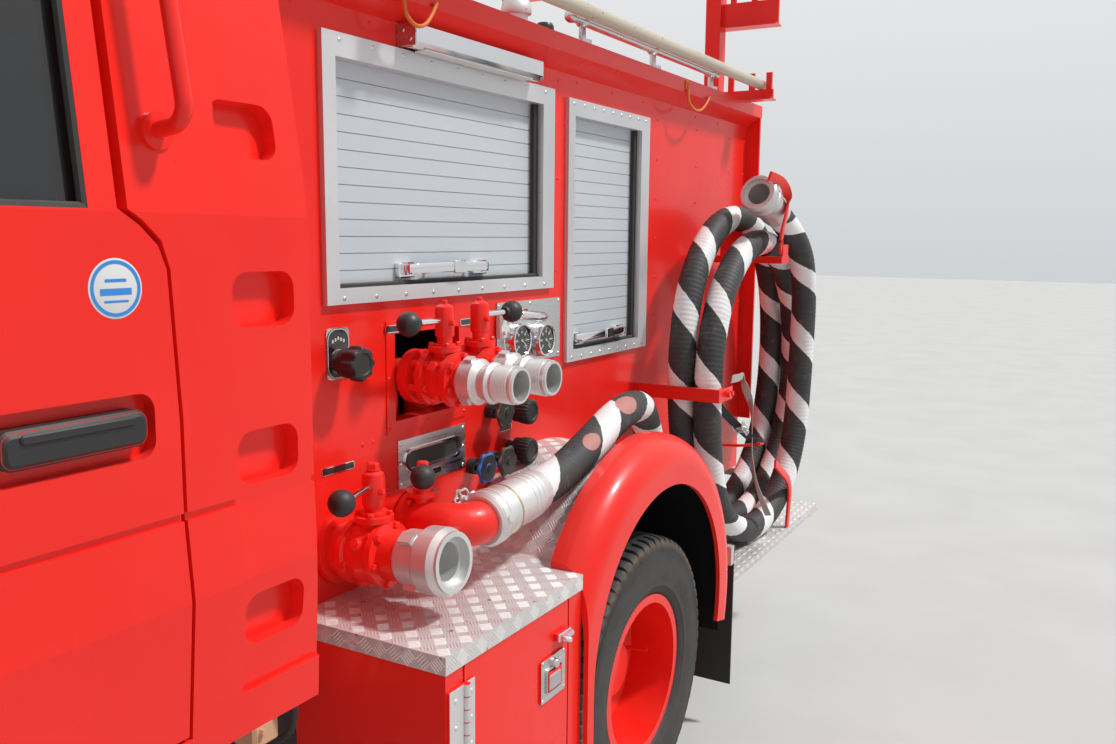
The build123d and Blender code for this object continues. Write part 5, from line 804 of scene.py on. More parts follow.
# Small valve wheels
# A drain cock on the elbow has a white cast wheel with six open lobes.
# A blue wheel and two rusty ones are on the wall.
def lobed_wheel(radius, lobes, thickness, hub):
    """A hand wheel: a round rim whose radius swells by a cosine at each lobe, a hub and four spokes."""
    turn = np.linspace(0, 2 * np.pi, 72, endpoint=False)[:, None]
    tube = np.linspace(0, 2 * np.pi, 10, endpoint=False)[None, :]
    half = thickness * 0.5
    out = radius * (0.88 + 0.09 * np.cos(lobes * turn)) + half * np.cos(tube)
    rim = about_z(out, turn, half * np.sin(tube)) / 1000
    hub_line = np.array(((0, 0.5), (0.8, 0.5), (1, 0.3), (1, -0.5), (0, -0.5))) * hub
    wheel = Batch(False).put(skin(rim, loop=True, ends=False)).put(turned(hub_line, 16))
    for facing in about_z(1, 0.4 + np.arange(4) * np.pi / 2, 0):
        wheel.put(rod(half * 0.8, radius * 0.85, 8), (0, 0, 0), facing)
    return wheel.shape()


white_paint = painted("white_wheel_paint", (0.72, 0.72, 0.70), (0.60, 0.59, 0.57), (0.35, 0.55),
                      grit=(rust, 120.0, 0.7))
blue_paint = painted("blue_wheel_paint", (0.02, 0.11, 0.42), (0.03, 0.15, 0.5), (0.3, 0.5),
                     grit=(rust, 90.0, 0.72))
rusty_iron = painted("rusty_iron", (0.10, 0.055, 0.035), (0.17, 0.12, 0.09), (0.6, 0.85),
                     metal=0.3, grit=((0.05, 0.03, 0.02), 120.0, 0.6), skin=(200.0, 0.5, 0.0008), patch=30.0)
drain_axis = unit((0.25, 0.85, 0.35))
drain_place = np.array((-0.450, 0.732, 0.985))
Batch(False).put(lobed_wheel(24, 6, 6, 9), drain_place, drain_axis).piece("drain_wheel_white", white_paint)
stem = turned(((0, 0), (9, 0), (9, 4), (5, 6), (5, 30), (0, 30)), 16)
stalk = Batch(False).put(stem, drain_place - drain_axis * 0.028, drain_axis)
stalk.put(small_nut, drain_place + drain_axis * 0.004, drain_axis).piece("drain_stalk", machined)
for name, x, z, paint in (("blue", -0.728, 0.981, blue_paint), ("low", -0.818, 0.981, rusty_iron),
                          ("high", -0.808, 1.108, rusty_iron)):
    Batch().put(lobed_wheel(37, 6, 11, 14), (x, wall_y + 0.050, z)).piece(f"wall_wheel_{name}", paint)


# Hose cuff
# The hose is pushed over a turned aluminium cuff, which has a grooved collar with three lugs and a brass band.
def hoop(inner, outer, half, crest):
    """A thin band round a pipe: a foot of twice half its width, and a crest of twice crest."""
    return turned(((inner, half), (outer, crest), (outer, -crest), (inner, -half), (inner, half)), 64)


cuff_foot = np.array((-0.443, 0.780, 0.945))
cuff_run = unit(np.array((-0.666, 0.780, 0.962)) - cuff_foot)
lug = turned(((0, 6.5), (8.5, 5.5), (10.5, 2), (10.5, -4), (0, -4)), 20)
lug_line = cuff_foot + cuff_run * 0.0255
cuff_marks = Batch()
for along in (0.015, 0.036):
    cuff_marks.put(hoop(59.6, 61.2, 2.6, 1.8), cuff_foot + cuff_run * along, cuff_run)
for along in (0.148, 0.166, 0.184):
    cuff_marks.put(hoop(53.5, 55.2, 3.2, 1.6), cuff_foot + cuff_run * along, cuff_run)
for place in ring_places(lug_line, cuff_run, 0.0595, 3, 0.9):
    cuff_marks.put(lug, place, place - lug_line)
cuff_marks.piece("cuff_lugs", machined)
brass = painted("brass", (0.62, 0.50, 0.30), (0.55, 0.43, 0.25), (0.3, 0.45), metal=0.8,
                grit=((0.3, 0.2, 0.1), 200.0, 0.72))
Batch().put(hoop(56.6, 58.4, 3, 2), cuff_foot + cuff_run * 0.084, cuff_run).piece("cuff_band", brass)

# Spigot threads
# A coarse round thread is cut on the mouth of each outlet, where the delivery hose's coupling grips.
thread_steps = np.linspace(0, 40, 21)
thread_radius = 38.8 + thread_steps / 20 + np.arange(21) % 2
thread_line = [(38, 0), *zip(thread_radius, thread_steps), (38, 40), (38, 0)]
threads = Batch().grid(turned(thread_line, 56), outlet_xs, 0.7925, (outlet_z,))
threads.piece("spigot_threads", machined)

# Gauge panel
# Two round pressure gauges sit in a stainless plate, each with a bright rim, a black face and a white needle.
# A white switch box and a small chromed lamp share the plate, which screws to the wall.
def oblongs(width, height, corner, levels, count):
    """Rounded oblongs as rings, one for each (inset, level).

    A ring is half the size less the corner, plus the corner's arc.
    """
    turn = np.linspace(0, 2 * np.pi, count, endpoint=False)
    corner = max(corner, 0.8)
    rings = []
    for inset, level in levels:
        corners = np.stack((np.sign(np.cos(turn)) * (width / 2 - corner),
                            np.sign(np.sin(turn)) * (height / 2 - corner), np.zeros(count)), -1)
        rings.append(corners + about_z(max(corner - inset, 0.2), turn, level))
    return np.array(rings) / 1000


def slab(width, height, depth, edge=1.5, corner=0):
    """A plate across Z, in millimetres: a rounded oblong whose top edge is worn off."""
    return skin(oblongs(width, height, corner, ((0, 0), (0, depth - edge), (edge, depth)), 24))


def border(width, height, corner, thick, lift):
    """A flat raised border that follows a rounded oblong, in millimetres."""
    levels = ((0, 0), (0, lift), (thick, lift), (thick, 0))
    return skin(oblongs(width, height, corner, levels, 48), loop=True, ends=False)


gauge_y = 0.582
bezel = turned(((38.5, 0.5), (38.5, 4.5), (40.5, 6.8), (44, 6), (45.2, 3), (45.2, -21.5), (47, -23),
                (47, -23.8), (40, -23.8)), 56)
disc = turned(((0, 1.2), (38.8, 1.2), (38.8, 0.2), (0, 0.2)), 48)
needle_pin = turned(((0, 4), (3.5, 3.6), (4.2, 1.2), (0, 1.2)), 16)
rims, dials, marks = Batch(), Batch(), Batch()


def clock_way(angle):
    """The direction on the wall at an angle from straight up."""
    return np.array((math.sin(angle), 0, math.cos(angle)))


for gauge_place in ((-0.921, gauge_y, 1.276), (-1.043, gauge_y, 1.268)):
    rims.put(bezel, gauge_place).put(needle_pin, gauge_place)
    dials.put(disc, gauge_place)
    for step in range(31):
        out = clock_way(math.radians(-135 + step * 9))
        front = np.array(gauge_place) + (0, 0.0011, 0)
        if step % 5:
            marks.put(slab(1.1, 4.5, 0.6, 0.1), front + out * 0.0330, outward, out)
            continue
        marks.put(slab(2.6, 8.5, 0.6, 0.1), front + out * 0.0310, outward, out)
        for across in (-0.0021, 0.0021):
            marks.put(slab(2.2, 6.2, 0.6, 0.1), front + (across, 0, 0) + out * 0.0222)
    lean = clock_way(-2.2)
    marks.put(slab(2.2, 34, 0.8, 0.2), gauge_place + lean * 0.011 + (0, 0.0024, 0), outward, lean)
rims.put(turned(((0, 0), (11, 0), (12.5, 3), (12.5, 112), (10.5, 118), (0, 120)), 24), (-0.894, 0.594, 1.345),
         (-1, 0.02, -0.10))
rims.put(turned(((0, 30), (6, 30), (7, 0), (0, 0)), 14), (-0.948, 0.558, 1.350))
rims.piece("gauge_rims", chrome)
dial_black = painted("dial_black", (0.010, 0.010, 0.011), (0.016, 0.016, 0.017), (0.15, 0.28),
                     coat=0.5)
dial_white = painted("dial_white", (0.78, 0.78, 0.76), (0.70, 0.70, 0.68), (0.4, 0.55))
dials.piece("gauge_faces", dial_black)
marks.piece("gauge_marks", dial_white, smooth=False)
Batch().put(slab(46, 66, 14, 3, 4), (-0.862, 0.5585, 1.318)).piece("switch_box", dial_white)
box_studs = Batch().grid(hex_head(9, 7), (-0.849, -0.875), 0.5725, (1.338, 1.300))
box_studs.piece("switch_studs", chrome)


# Throttle dial and black knobs
# The dial is a black anodised plate with a white border and a printed ring; its knob has eight shallow lobes.
# Two more knobs of the same moulding stand on the wall behind the outlets.
def lobed_knob(radius, lobes, height):
    """A moulded knob, in millimetres.

    Its radius swells at each lobe by 0.68 over the number of lobes. It draws in at the crown, which is dished.
    """
    turn = np.linspace(0, 2 * np.pi, 132, endpoint=False)
    level = height * np.array((0.0, 0.08, 0.5, 0.86, 0.97, 1.0, 1.0, 0.93, 0.93))[:, None]
    share = np.array((0.80, 0.96, 1.0, 0.98, 0.90, 0.80, 0.66, 0.60, 0.0))[:, None]
    wave = np.cos(lobes * turn)
    out = radius * share * np.where(share > 0.7, 1 + 0.68 / lobes * np.sign(wave) * np.abs(wave) ** 0.6, 1.0)
    return skin(about_z(out, turn, level) / 1000, ends=False)


dial_x, dial_y, dial_z = -0.263, 0.5588, 1.306
Batch().put(slab(65.5, 103.5, 0.8, 0.3, 26), (dial_x, 0.5581, dial_z)).piece("dial_plate", dial_black)
dial_marks = Batch()
dial_marks.put(border(62.5, 100.5, 25, 1.6, 0.4), (dial_x, dial_y, dial_z))
dial_middle = np.array((dial_x, dial_y, dial_z - 0.016))
for outer in (24.5, 12.5):
    dial_marks.put(turned(((outer, 0), (outer, 0.4), (outer - 1, 0.4), (outer - 1, 0)), 48), dial_middle)
for step in range(24):
    out = clock_way(step * math.pi / 12)
    dial_marks.put(slab(1.2, 5.5 if step % 3 else 10, 0.4, 0.1), dial_middle + out * 0.0190, outward, out)
for step in range(5):
    place = (dial_x - 0.016 + step * 0.008, dial_y, dial_z + 0.031 - abs(step - 2) * 0.003)
    dial_marks.put(slab(4.5, 7, 0.4, 0.1), place)
dial_marks.piece("dial_marks", dial_white, smooth=False)
knob_collar = turned(((0, 10), (17, 10), (20, 4), (20, 0), (0, 0)), 24)
knobs = Batch()
for knob_x, foot_y, knob_y, knob_z, lobes, radius in ((-0.256, 0.5592, 0.5965, 1.290, 8, 33.5),
                                                      (-0.903, 0.5555, 0.5935, 0.994, 22, 32.5),
                                                      (-0.903, 0.5555, 0.5935, 1.096, 22, 32.5)):
    knobs.put(knob_collar, (knob_x, foot_y, knob_z))
    knobs.put(lobed_knob(radius, lobes, 36), (knob_x, knob_y, knob_z))
knobs.piece("panel_knobs", black_plastic)

# Name plates
# Each control has a small etched plate, held by two pins; the plates are left without words.
blank_plates, plate_rims = Batch(), Batch()
for plate_x, front, plate_z, width in ((-0.437, 0.5581, 1.3425, 56), (-0.716, 0.5581, 1.3385, 66),
                                       (-0.258, 0.5551, 1.0685, 96), (-0.885, 0.5551, 1.0500, 60),
                                       (-0.575, 0.5581, 0.9985, 60)):
    blank_plates.put(slab(width, 16.5, 1.2, 0.3, 5), (plate_x, front, plate_z))
    plate_rims.put(border(width, 16.5, 5, 1.8, 1.6), (plate_x, front, plate_z))
blank_plates.piece("name_plates", dial_black)
plate_rims.piece("name_plate_rims", chrome)

# Slotted lever plate
# The outlet's slide lever runs in a slot whose bright edge is folded out of the stainless plate.
Batch().put(border(214, 52, 25.9, 5.8, 4), (-0.576, 0.5579, 1.042)).piece("slot_rim", chrome)
# A black slab behind the slot rim is painted shadow inside the slot.
slot_shadow_sheet = Batch().put(slab(250, 85, 1, 0.2, 20), (-0.576, 0.5552, 1.042))
slot_shadow_sheet.piece("slot_shadow", black_rubber, slot="black_plastic")

# Screws
# The plates, frames and body panels are held by small domed screws, painted over where they sit in red.
dome = turned(((0, 2.6), (2.4, 2.2), (4.2, 1.2), (5, 0), (0, 0)), 12)
plate_front = 0.558
# rear and front x, low and high z of the two side shutters' frames
shutters = ((-1.109, -0.226, 1.4045, 1.9325), (-1.716, -1.187, 1.1885, 1.9215))
bright_screws = Batch().grid(dome, (-1.152, -0.852), plate_front, (1.367, 1.220))
bright_screws.put(dome, (-1.002, plate_front, 1.367))
bright_screws.grid(dome, (-0.693, -0.457), plate_front, (1.083, 1.037, 0.991))
for rear_x, front_x, low_z, high_z in shutters:
    screw_xs = rear_x + (front_x - rear_x) * (np.arange(9) + 0.5) / 9
    bright_screws.grid(dome, screw_xs, 0.567, (low_z + 0.012, high_z - 0.014))
bright_screws.piece("bright_screws", stainless)
red_screws = Batch().put(dome, (-0.335, wall_y, 1.104)).put(dome, (-0.368, wall_y, 1.105))
red_screws.grid(dome, (-0.699, -0.421), plate_front, (1.234, 1.123)).put(dome, (-0.560, plate_front, 1.123))
red_screws.grid(dome, (-1.145,), wall_y, (1.960, 1.700, 1.450, 1.200))
red_screws.grid(dome, -0.16 - np.arange(12) * 0.218, wall_y, (1.968,))
red_screws.grid(dome, (-0.09,), wall_y, 0.86 + np.arange(12) * 0.098)
red_screws.grid(dome, (-1.800, -2.140, -2.470, -2.640), wall_y, 0.90 + np.arange(9) * 0.128)
red_screws.piece("painted_screws", red_paint)

# Shutter seals and pulls
# Black rubber lips run down both channels of each shutter and under its bar.
# A chromed pull is bolted to the bar at the foot of each curtain.
def straight_bar(start, end, section):
    """A section of (across, up) pairs in millimetres, carried along a straight run between two places."""
    start, end = np.asarray(start, float), np.asarray(end, float)
    along = unit(end - start)
    across = unit(np.cross((0.0, 0.0, 1.0) if abs(along[2]) < 0.9 else (0.0, 1.0, 0.0), along))
    ring = np.asarray(section, float) / 1000 @ np.stack((across, np.cross(along, across)))
    return skin(np.stack((ring + start, ring + end)))


def round_bar(points, radius, sides=14):
    """A round bar of a radius in millimetres along a smooth line through the given places."""
    return skin(tube_rings(spline_points(points, 6), radius / 1000, sides))


def ribbon(points, width, thick, wide_side, steps=6):
    """A flat band, in millimetres, along a smooth line; its width lies near wide_side, square to the line."""
    path = spline_points(points, steps)
    along = unit(np.gradient(path, axis=0))
    wide = unit(wide_side - along * (along @ wide_side)[:, None])
    corners = np.array(((-0.5, -0.5), (-0.42, -0.62), (0.42, -0.62), (0.5, -0.5),
                        (0.5, 0.5), (0.42, 0.62), (-0.42, 0.62), (-0.5, 0.5))) * (width, thick) / 1000
    over = np.cross(along, wide)
    return skin(path[:, None] + corners[:, :1] * wide[:, None] + corners[:, 1:] * over[:, None])


lip = ((-8, -6), (8, -6), (8, 3), (3, 6), (-8, 4))
wide_lip = ((-12, -6), (12, -6), (12, 3), (6, 6), (-12, 4))
pull_reach = 0.163
# half of a pull's line: metres in from its end, y and rise above its feet
pull_line = ((0.012, 0.545, 0.0), (0.014, 0.566, 0.002), (0.050, 0.573, 0.004))
seals, pulls = Batch(), Batch()
for (rear_x, front_x, low_z, high_z), pull_x in zip(shutters, (-0.643, -1.415)):
    inner_rear, inner_front, inner_low = rear_x + 0.053, front_x - 0.031, low_z + 0.031
    for lip_x, section in ((inner_rear + 0.012, wide_lip), (inner_front - 0.006, lip)):
        seals.put(straight_bar((lip_x, 0.545, inner_low), (lip_x, 0.545, high_z - 0.040), section))
    lip_z = inner_low + 0.004
    seals.put(straight_bar((inner_rear, 0.545, lip_z), (inner_front, 0.545, lip_z), lip))
    pull_z = low_z + 0.063
    pulls.grid(slab(58, 34, 14, 3, 6), (pull_x - 0.143, pull_x + 0.143), 0.5355, (pull_z,))
    rear_half, front_half = ([(pull_x + way * (pull_reach - inset), y, pull_z + rise)
                              for inset, y, rise in pull_line] for way in (-1, 1))
    grip = [*rear_half, (pull_x, 0.575, pull_z + 0.005), *front_half[::-1]]
    pulls.put(ribbon(grip, 22.5, 10.5, (0, 0, 1)))
    pulls.put(slab(44, 30, 6, 2, 4), (pull_x - 0.010, 0.5790, pull_z + 0.005))
seals.piece("shutter_seals", black_rubber)
pulls.piece("shutter_pulls", chrome)

# Door handles, window rubbers and sticker
# Each door has a moulded black pull in its recess and a rubber seal round its tinted window.
# A round blue and white sticker without words is stuck on the rear door's left side.
skin_belt_z = 1.570
skin_lean = 0.16


def skin_y(height):
    """Distance of the cab's side from the middle: upright to the belt, then leaning in with height."""
    return 0.846 - max(0.0, height - skin_belt_z) * skin_lean


round_lip = about_z(7.5, np.arange(8) * np.pi / 4, 0)[:, :2]
for which, rear_x, front_x, top_front_x in (("front", 1.400, 2.476, 2.325), ("rear", 0.357, 1.326, 1.318)):
    handle = Batch(False).put(slab(196, 48, 31, 8, 17), (rear_x + 0.150, 0.8255, 1.298))
    handle.put(slab(150, 12, 4, 2, 5), (rear_x + 0.150, 0.8560, 1.310))
    handle.pair(f"handle_{which}", black_plastic, which + "_{}_door")
    rubber = Batch(False)
    corners = [(x, skin_y(z) - 0.008, z) for x, z in (
        (rear_x + 0.117, 1.573), (front_x - 0.062, 1.573), (front_x - 0.062, 1.600),
        (top_front_x - 0.062, 2.068), (rear_x + 0.101, 2.068))]
    for corner, following in zip(corners, corners[1:] + corners[:1]):
        rubber.put(straight_bar(corner, following, round_lip))
    rubber.pair(f"window_rubber_{which}", black_rubber, which + "_{}_door")
sticker_place = np.array((0.443, 0.8462, 1.476))
sticker = Batch(False).put(turned(((0, 0.5), (36.5, 0.5), (37.5, 0), (0, 0)), 56), sticker_place)
sticker.piece("door_sticker", dial_white, "rear_left_door")
sticker_blue = painted("sticker_blue", (0.03, 0.22, 0.62), (0.04, 0.26, 0.68), (0.3, 0.45))
printed = Batch(False).put(turned(((35, 0.4), (35, 0.9), (30.5, 0.9), (30.5, 0.4)), 56), sticker_place)
for width, height, up in ((44, 8.5, -0.004), (30, 4, 0.010), (34, 3, -0.016)):
    printed.put(slab(width, height, 0.5, 0.1, 1), sticker_place + (0, 0.0004, up))
printed.piece("door_sticker_print", sticker_blue, "rear_left_door")

# Locker door fittings
# The door hangs on a long bright hinge, and has a snap latch above a pressed paddle lock of stainless steel.
knuckle = rod(7.8, 22.5)
leaf = Batch(False).put(slab(30, 300, 1.2, 0.3, 2), (-0.1935, 0.9282, 0.580))
strip = Batch().put(slab(44, 300, 1.2, 0.3, 2), (-0.1485, 0.9301, 0.580))
for step in range(6):
    leaf.put(knuckle, (-0.178, 0.9323, 0.432 + step * 0.05), (0, 0, 1))
    leaf.put(dome, (-0.196, 0.9293, 0.448 + step * 0.052))
    strip.put(knuckle, (-0.178, 0.9323, 0.457 + step * 0.05), (0, 0, 1))
    strip.put(dome, (-0.145, 0.9312, 0.448 + step * 0.052))
leaf.pair("locker_hinge", machined, "{}_locker_door")
strip.piece("locker_hinge_strip", machined)
recess = Batch(False).put(slab(58, 48, 1.2, 0.4, 4), (-0.499, 0.9304, 0.612))
recess.pair("paddle_recess", black_plastic, "{}_locker_door")
lock = Batch(False).put(slab(100, 94, 1.6, 0.5, 6), (-0.499, 0.9291, 0.615))
lock.put(border(66, 56, 8, 3.5, 4), (-0.499, 0.9300, 0.612))
lock.put(slab(46, 34, 6.8, 2, 4), (-0.499, 0.9300, 0.608))
lock.put(turned(((0, 11.2), (8.5, 11.2), (9.8, 9.5), (9.8, 0), (0, 0)), 24), (-0.499, 0.9300, 0.646))
lock.grid(dome, (-0.543, -0.455), 0.9305, (0.574, 0.656))
lock.pair("paddle_lock", stainless, "{}_locker_door")
snap = Batch(False).put(slab(54, 17.5, 4.5, 1, 4), (-0.534, 0.9345, 0.696))
snap.put(turned(((0, 0), (6.5, 0), (6.5, 22), (5, 24), (0, 24)), 16), (-0.518, 0.9385, 0.696))
snap.put(straight_bar((-0.556, 0.9415, 0.696), (-0.512, 0.9415, 0.696), round_lip))
snap.pair("snap_latch", chrome, "{}_locker_door")

# Hose hooks, straps and roof hooks
# Bent flat steel hooks, painted red, hold the hose's free end and the foot of its coil.
# A grey webbing strap and a black one with a ratchet tie the coil; orange rod hooks hang from the roof's edge.
hooks = Batch()
hooks.put(ribbon([(-2.165, 0.872, 1.500), (-2.120, 0.884, 1.555), (-2.135, 0.892, 1.612),
                  (-2.162, 0.893, 1.666), (-2.122, 0.893, 1.720), (-2.058, 0.886, 1.742),
                  (-1.995, 0.876, 1.748)], 32, 7, (0.6, 0.2, 1.0)))
hooks.put(ribbon([(-2.290, 0.897, 0.476), (-2.292, 0.899, 0.545), (-2.300, 0.901, 0.612),
                  (-2.262, 0.902, 0.668), (-2.190, 0.900, 0.706), (-2.118, 0.896, 0.752)],
                 30, 7, (1.0, 0.0, 0.3)))
hooks.put(ribbon([(-2.192, 0.562, 0.776), (-2.192, 0.680, 0.781), (-2.192, 0.770, 0.788),
                  (-2.192, 0.822, 0.802)], 40, 7, (1.0, 0.0, 0.1)))
hooks.put(slab(70, 90, 6, 2, 10), (-2.192, 0.5632, 0.778))
hooks.grid(small_nut, (-2.212, -2.172), 0.5692, (0.800, 0.756))
hooks.grid(flange_nut, (-1.745, -1.715), 0.8560, (1.051,))
hooks.piece("coil_hooks", red_paint)

grey_webbing = painted("grey_webbing", (0.50, 0.46, 0.41), (0.42, 0.38, 0.34), (0.8, 0.95),
                       skin=(900.0, 0.5, 0.0006), stretch=(1, 1, 2), patch=12.0)
black_webbing = painted("black_webbing", (0.02, 0.02, 0.022), (0.035, 0.034, 0.034),
                        (0.75, 0.9), skin=(900.0, 0.5, 0.0006), patch=12.0)
grey_line = [(-1.735, 0.862, 1.098), (-1.800, 0.850, 1.092), (-1.960, 0.808, 1.072), (-2.120, 0.765, 1.058),
             (-2.105, 0.772, 1.035), (-2.158, 0.790, 0.947), (-2.141, 0.800, 0.833), (-2.087, 0.820, 0.775),
             (-2.042, 0.850, 0.702), (-2.030, 0.880, 0.638), (-2.049, 0.900, 0.580)]
new_piece("hose_strap_grey", *ribbon(grey_line, 26, 2.2, (0.4, 0.2, 1.0)), grey_webbing)
black_line = [(-1.765, 0.785, 1.025), (-1.830, 0.790, 0.985), (-1.940, 0.792, 0.925), (-2.060, 0.800, 0.862),
              (-2.140, 0.805, 0.822), (-2.192, 0.800, 0.806)]
new_piece("hose_strap_black", *ribbon(black_line, 28, 2.4, (0.1, 0.6, 1.0)), black_webbing)
ratchet = Batch(False)
ratchet_axis = np.array((-0.83, -0.02, -0.55))
ratchet_place = np.array((-2.000, 0.796, 0.890))
for cheek_y in (-0.011, 0.023):
    ratchet.put(slab(75, 30, 3, 0.8, 8), ratchet_place + (0, cheek_y, 0), outward, (0.55, 0, -0.83))
for radius, along in ((8.5, 0.0), (6, 0.028)):
    ratchet.put(rod(radius, 44), ratchet_place + ratchet_axis * along + (0, -0.013, 0))
ratchet.piece("strap_ratchet", stainless)

orange_paint = painted("orange_hook_paint", (0.80, 0.22, 0.03), (0.66, 0.16, 0.02), (0.35, 0.5),
                       grit=(rust, 160.0, 0.7))
rod_hooks = Batch()
for first_x, span in ((-0.410, 0.110), (-1.900, 0.190)):
    rod_hooks.put(round_bar([
        (first_x, 0.6165, 2.052), (first_x, 0.6180, 2.010), (first_x - 0.004, 0.6200, 1.985),
        (first_x - span * 0.35, 0.6210, 1.966), (first_x - span * 0.75, 0.6200, 1.984),
        (first_x - span, 0.6185, 2.030)], 4.5, 10))
    rod_hooks.put(slab(26, 30, 3, 1, 5), (first_x, 0.6125, 2.044))
rod_hooks.piece("roof_edge_hooks", orange_paint)

# Roof caps and lamp fittings
# A spun aluminium breather and a black plug stand on the roof's edge.
# The work lamp has a frosted lens in its foot.
breather = turned(((0, 138), (24, 134), (36, 118), (41, 96), (39, 88), (30, 85), (30, 66), (38, 62), (38, 52),
                   (28, 48), (28, 6), (40, 4), (40, 0), (0, 0)), 36)
Batch().put(breather, (-1.020, 0.500, 2.0262), upright).piece("roof_breathers", machined)
plug = turned(((0, 94), (20, 92), (25, 84), (25, 70), (18, 66), (18, 4), (26, 0), (0, 0)), 24)
Batch().put(plug, (-1.165, 0.500, 2.0262), upright).piece("roof_plugs", black_plastic)
lens_white = painted("frosted_lens", (0.78, 0.78, 0.76), (0.70, 0.70, 0.68), (0.35, 0.5), 0.3)
lens = Batch().put(slab(440, 30, 2.2, 0.8, 4), (-0.7225, 0.5855, 1.9335), (0, 0.08, -1), outward)
lens.piece("work_lamp_lens", lens_white)
lamp_ends = Batch()
for end_x, facing in ((-0.465, 1), (-0.980, -1)):
    lamp_ends.put(slab(50, 47, 2, 0.8, 4), (end_x, 0.5815, 1.9595), (facing, 0, 0))
    for screw_y, screw_z in ((0.5720, 1.9690), (0.5920, 1.9500)):
        lamp_ends.put(dome, (end_x + facing * 0.002, screw_y, screw_z), (facing, 0, 0))
lamp_ends.piece("work_lamp_ends", stainless)


# Cab benches
# Each bench has a padded seat and back in dark grey cloth with sewn channels, on a black plinth.
# The foam swells between its corners, and the channels pull the cloth down in straight lines.
def cushion(width, depth, thick, channels, crown, rows=26, columns=44):
    """A padded block, in metres, whose thickness falls at its rim and channels.

    Half its thickness at (u, v) is thick/2 (1-|u|^10)^(1/4) (1-|v|^8)^(1/4).
    The top has the crown added and the channels taken off.
    """
    u = np.sin(np.linspace(-1, 1, columns) * np.pi / 2)[None, :]
    v = np.sin(np.linspace(-1, 1, rows) * np.pi / 2)[:, None]
    rim = (1 - np.abs(u) ** 10) ** 0.25 * (1 - np.abs(v) ** 8) ** 0.25
    swell = crown * (1 - u**2) ** 0.5 * (1 - v**2)
    seam = sum(np.exp(-(((u - channel) * width / 2) / 0.009) ** 2) for channel in channels)
    top = rim * (thick / 2 + swell - 0.010 * np.minimum(seam, 1.0) * rim)
    x = v * depth / 2 * np.ones_like(u)
    y = u * width / 2 * (1 - 0.012 * (1 - np.abs(v)))
    faces = grid_faces(rows, columns)
    return joined([(np.stack((x, y, height), -1).reshape(-1, 3), faces) for height in (top, -rim * thick / 2)])


cloth = painted("bench_cloth", (0.045, 0.050, 0.060), (0.065, 0.070, 0.080), (0.82, 0.96),
                dust=((0.2, 0.18, 0.16), 0.25), skin=(1100.0, 0.5, 0.0006), patch=18.0)
Nodes(cloth.node_tree).shade({"Sheen Weight": 0.35})
bench_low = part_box("cab_seats")[0].z + 0.001
seat_shares = (-0.62, -0.33, -0.04, 0.04, 0.33, 0.62)
plinths = Batch(False)
for bench_name, bench_x in (("rear", 0.210), ("front", 1.330)):
    plinths.put(slab(560, 1360, 255, 12, 30), (bench_x + 0.325, 0.0, bench_low), (0, 0, 1), outward)
    for part, depth, thick, along, rise, facing in (("cushion", 0.470, 0.120, 0.372, 0.318, (-0.06, 0, 1)),
                                                    ("back", 0.545, 0.118, 0.033, 0.668, (1, 0, 0.12))):
        pad = Batch(False).put(cushion(1.384, depth, thick, seat_shares, 0.012),
                               (bench_x + along, 0.0, bench_low + rise), facing, outward)
        piece = pad.piece(f"bench_{bench_name}_{part}", cloth)
        if (bench_name, part) == ("rear", "cushion"):
            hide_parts("cab_seats")
plinths.piece("bench_plinths", black_plastic)

# Windscreen and mirrors
# A black rubber seal holds the windscreen, two wipers rest on it, and the mirrors have silvered glass.
screen_ahead = np.array((0.9542, 0, 0.2993))


def screen_place(side_y, height, out):
    """A place on the leaning front of the cab: x falls by 0.3137 a metre of height."""
    return np.array((2.678 - 0.3137 * (height - 1.300) + out * 0.954, side_y, height + out * 0.2993))


screen_corners = ((-0.703, 1.352), (0.703, 1.352), (0.640, 2.098), (-0.640, 2.098))
screen_seal = Batch(False)
for first, second in zip(screen_corners, screen_corners[1:] + screen_corners[:1]):
    wide_side = np.cross(screen_ahead, (0, second[0] - first[0], second[1] - first[1]))
    screen_seal.put(ribbon([screen_place(*first, 0.001), screen_place(*second, 0.001)], 24, 4, wide_side, 2))
for pivot_y in (-0.560, 0.040):
    pivot = turned(((0, 12), (12, 12), (14, 0), (0, 0)), 16)
    screen_seal.put(pivot, screen_place(pivot_y, 1.322, 0.0), screen_ahead)
    arm = screen_place(pivot_y, 1.322, 0.011), screen_place(pivot_y + 0.330, 1.378, 0.012)
    blade = screen_place(pivot_y + 0.080, 1.392, 0.006), screen_place(pivot_y + 0.560, 1.392, 0.006)
    screen_seal.put(straight_bar(*arm, round_lip)).put(straight_bar(*blade, round_lip))
screen_seal.piece("windscreen_seal", black_rubber)
mirror_glass = painted("mirror_glass", (0.85, 0.86, 0.87), (0.80, 0.81, 0.82), (0.02, 0.05),
                       metal=1.0)
silvered = Batch().put(slab(148, 326, 1.4, 0.6, 28), (2.5040, 1.060, 1.610), (-1, 0, 0))
silvered.piece("mirror_glasses", mirror_glass)


# Head lamps and grille
# Each round lamp has a chromed rim and a fluted lens, with an amber indicator beside it.
# Thin upright bars stand behind the grille's slats.
def fluted_lens(radius, rise, flutes, rows=14, sides=48):
    """A shallow dome in millimetres whose height also swings with a cosine across it, as moulded flutes do."""
    out = np.linspace(0.0, 1.0, rows)[:, None] ** 0.7
    turn = np.linspace(0, 2 * np.pi, sides, endpoint=False)[None, :]
    height = rise * (1 - out ** 2) + 1.2 * np.cos(flutes * np.pi * out * np.cos(turn)) * (1 - out ** 6)
    rings = about_z(radius * out, turn, height)
    back = rings[-1:] * (1, 1, 0) - (0, 0, 3.5)
    points, faces = skin(np.concatenate((rings, back)) / 1000, ends=False)
    return points, faces + [list(range(rows * sides, (rows + 1) * sides))]


